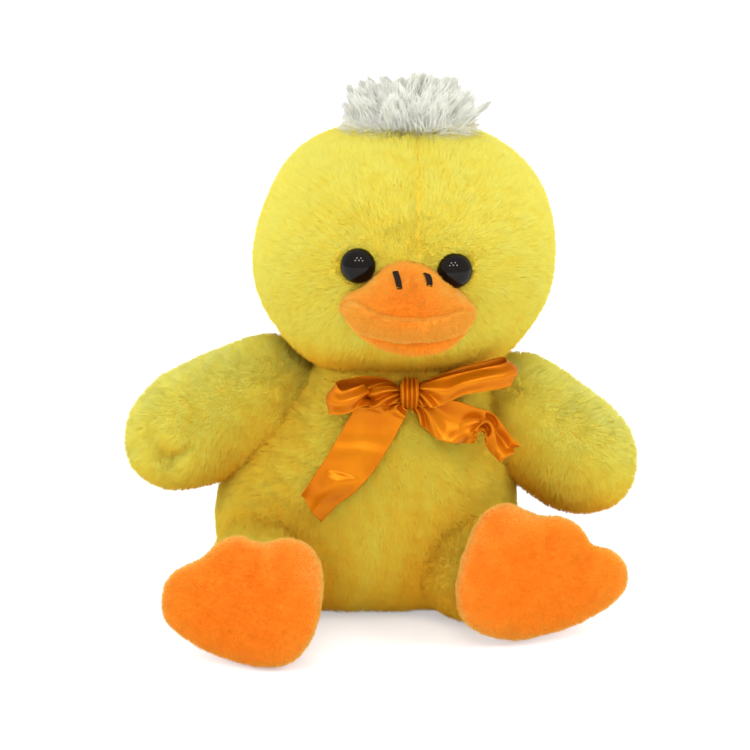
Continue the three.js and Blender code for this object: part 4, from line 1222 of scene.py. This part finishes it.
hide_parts("body_cover", "body_stuffing", "pellet_bag")
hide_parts("head_cover", "head_stuffing", "neck_stuffing")
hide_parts("tail")
for name, body in (("torso", "torso"), ("head", "head"), ("tail", "torso")):
    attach(skins[name], body)
# Each limb's root, its direction, and how far along it a bend would start and end. Nothing here bends a
# limb: its CAD parts are hidden and its skin and fur are fixed where they stand
bends = {f"{side}_wing": (root, direction, 1, 17) for side, (root, direction) in WINGS.items()}
bends.update({f"{side}_leg": (root, unit(ankle - root), 2, 18) for side, (root, ankle) in LEGS.items()})
for limb, (root, direction, first, last) in bends.items():
    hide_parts(f"{limb}_cover", f"{limb}_stuffing")
    for piece in [skins[limb], *furs[limb]]:
        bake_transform(piece)

# Floor, light and world


def seen_rays(tree):
    """Camera, glossy and transmission rays, as one mask."""
    path = add_node(tree, "LightPath")
    total = path.outputs["Is Camera Ray"]
    for name in ("Is Glossy Ray", "Is Transmission Ray"):
        join = add_node(tree, "Math")
        join.operation = "MAXIMUM"
        tree.links.new(total, join.inputs[0])
        tree.links.new(path.outputs[name], join.inputs[1])
        total = join.outputs[0]
    return total


# The floor glows more the farther it is from the duck, but only where it is seen
floor_material, tree, shader = principled(
    "floor", Base_Color=(0.9, 0.9, 0.9, 1), Roughness=0.9, Specular_IOR_Level=0.1,
    Emission_Color=(1, 1, 1, 1))
where = add_node(tree, "TexCoord")
away = add_node(tree, "VectorMath")
away.operation = "LENGTH"
glow = add_node(tree, "MapRange", From_Min=0.15, From_Max=0.9, To_Min=0.42, To_Max=0.9)
mask = add_node(tree, "Math")
mask.operation = "MULTIPLY"
wire(tree, (where, "Object", away, 0), (away, "Value", glow, "Value"), (glow, "Result", mask, 0),
     (mask, 0, shader, "Emission Strength"))
tree.links.new(seen_rays(tree), mask.inputs[1])
FLOOR_REACH, FLOOR_HEIGHT = 3000, -0.3
floor = new_piece("floor", [(x * FLOOR_REACH, y * FLOOR_REACH, FLOOR_HEIGHT) for x, y in (
    (-1, -1), (1, -1), (1, 1), (-1, 1))], [(0, 1, 2, 3)], [floor_material])

world = bpy.data.worlds.new("world")
bpy.context.scene.world = world
world.use_nodes = True
tree = world.node_tree
background = tree.nodes["Background"]
strength = add_node(tree, "MapRange", To_Min=0.8, To_Max=1.0)
tree.links.new(seen_rays(tree), strength.inputs["Value"])
background.inputs["Color"].default_value = (1, 1, 1, 1)
wire(tree, (strength, "Result", background, "Strength"))


def lamp(name, place, size, power, target=(2, -10, 80), glint=False):
    """A round lamp. A glint shows only in gloss, and the others only on what they light."""
    data = bpy.data.lights.new(name, "AREA")
    data.shape = "DISK"
    data.size = size
    data.energy = power
    light = link(bpy.data.objects.new(name, data))
    light.location = Vector(place) * MM
    light.rotation_euler = (Vector(target) * MM - light.location).to_track_quat("-Z", "Y").to_euler()
    light.visible_glossy = glint
    light.visible_diffuse = not glint


lamp("top", (0, 50, 1100), 0.6, 1.6)
lamp("key", (0, -760, 760), 0.5, 2.1)
for side, way in (("right", -1), ("left", 1)):
    lamp(f"back_{side}", (way * 650, 850, 450), 0.5, 2.6)
for side, way in (("right", -1), ("left", 1)):
    lamp(f"fill_{side}", (way * 850, -420, 600), 0.5, 3.2)
lamp("front", (0, -1100, 60), 0.7, 2.7, target=(2, 0, 40))
for index, place in enumerate((
        (-330, -780, 700), (0, -800, 720), (330, -780, 700), (-170, -620, 880), (170, -620, 880))):
    lamp(f"spot_{index}", place, 0.12, 1.2, glint=True)

bpy.context.scene.view_settings.view_transform = "Standard"
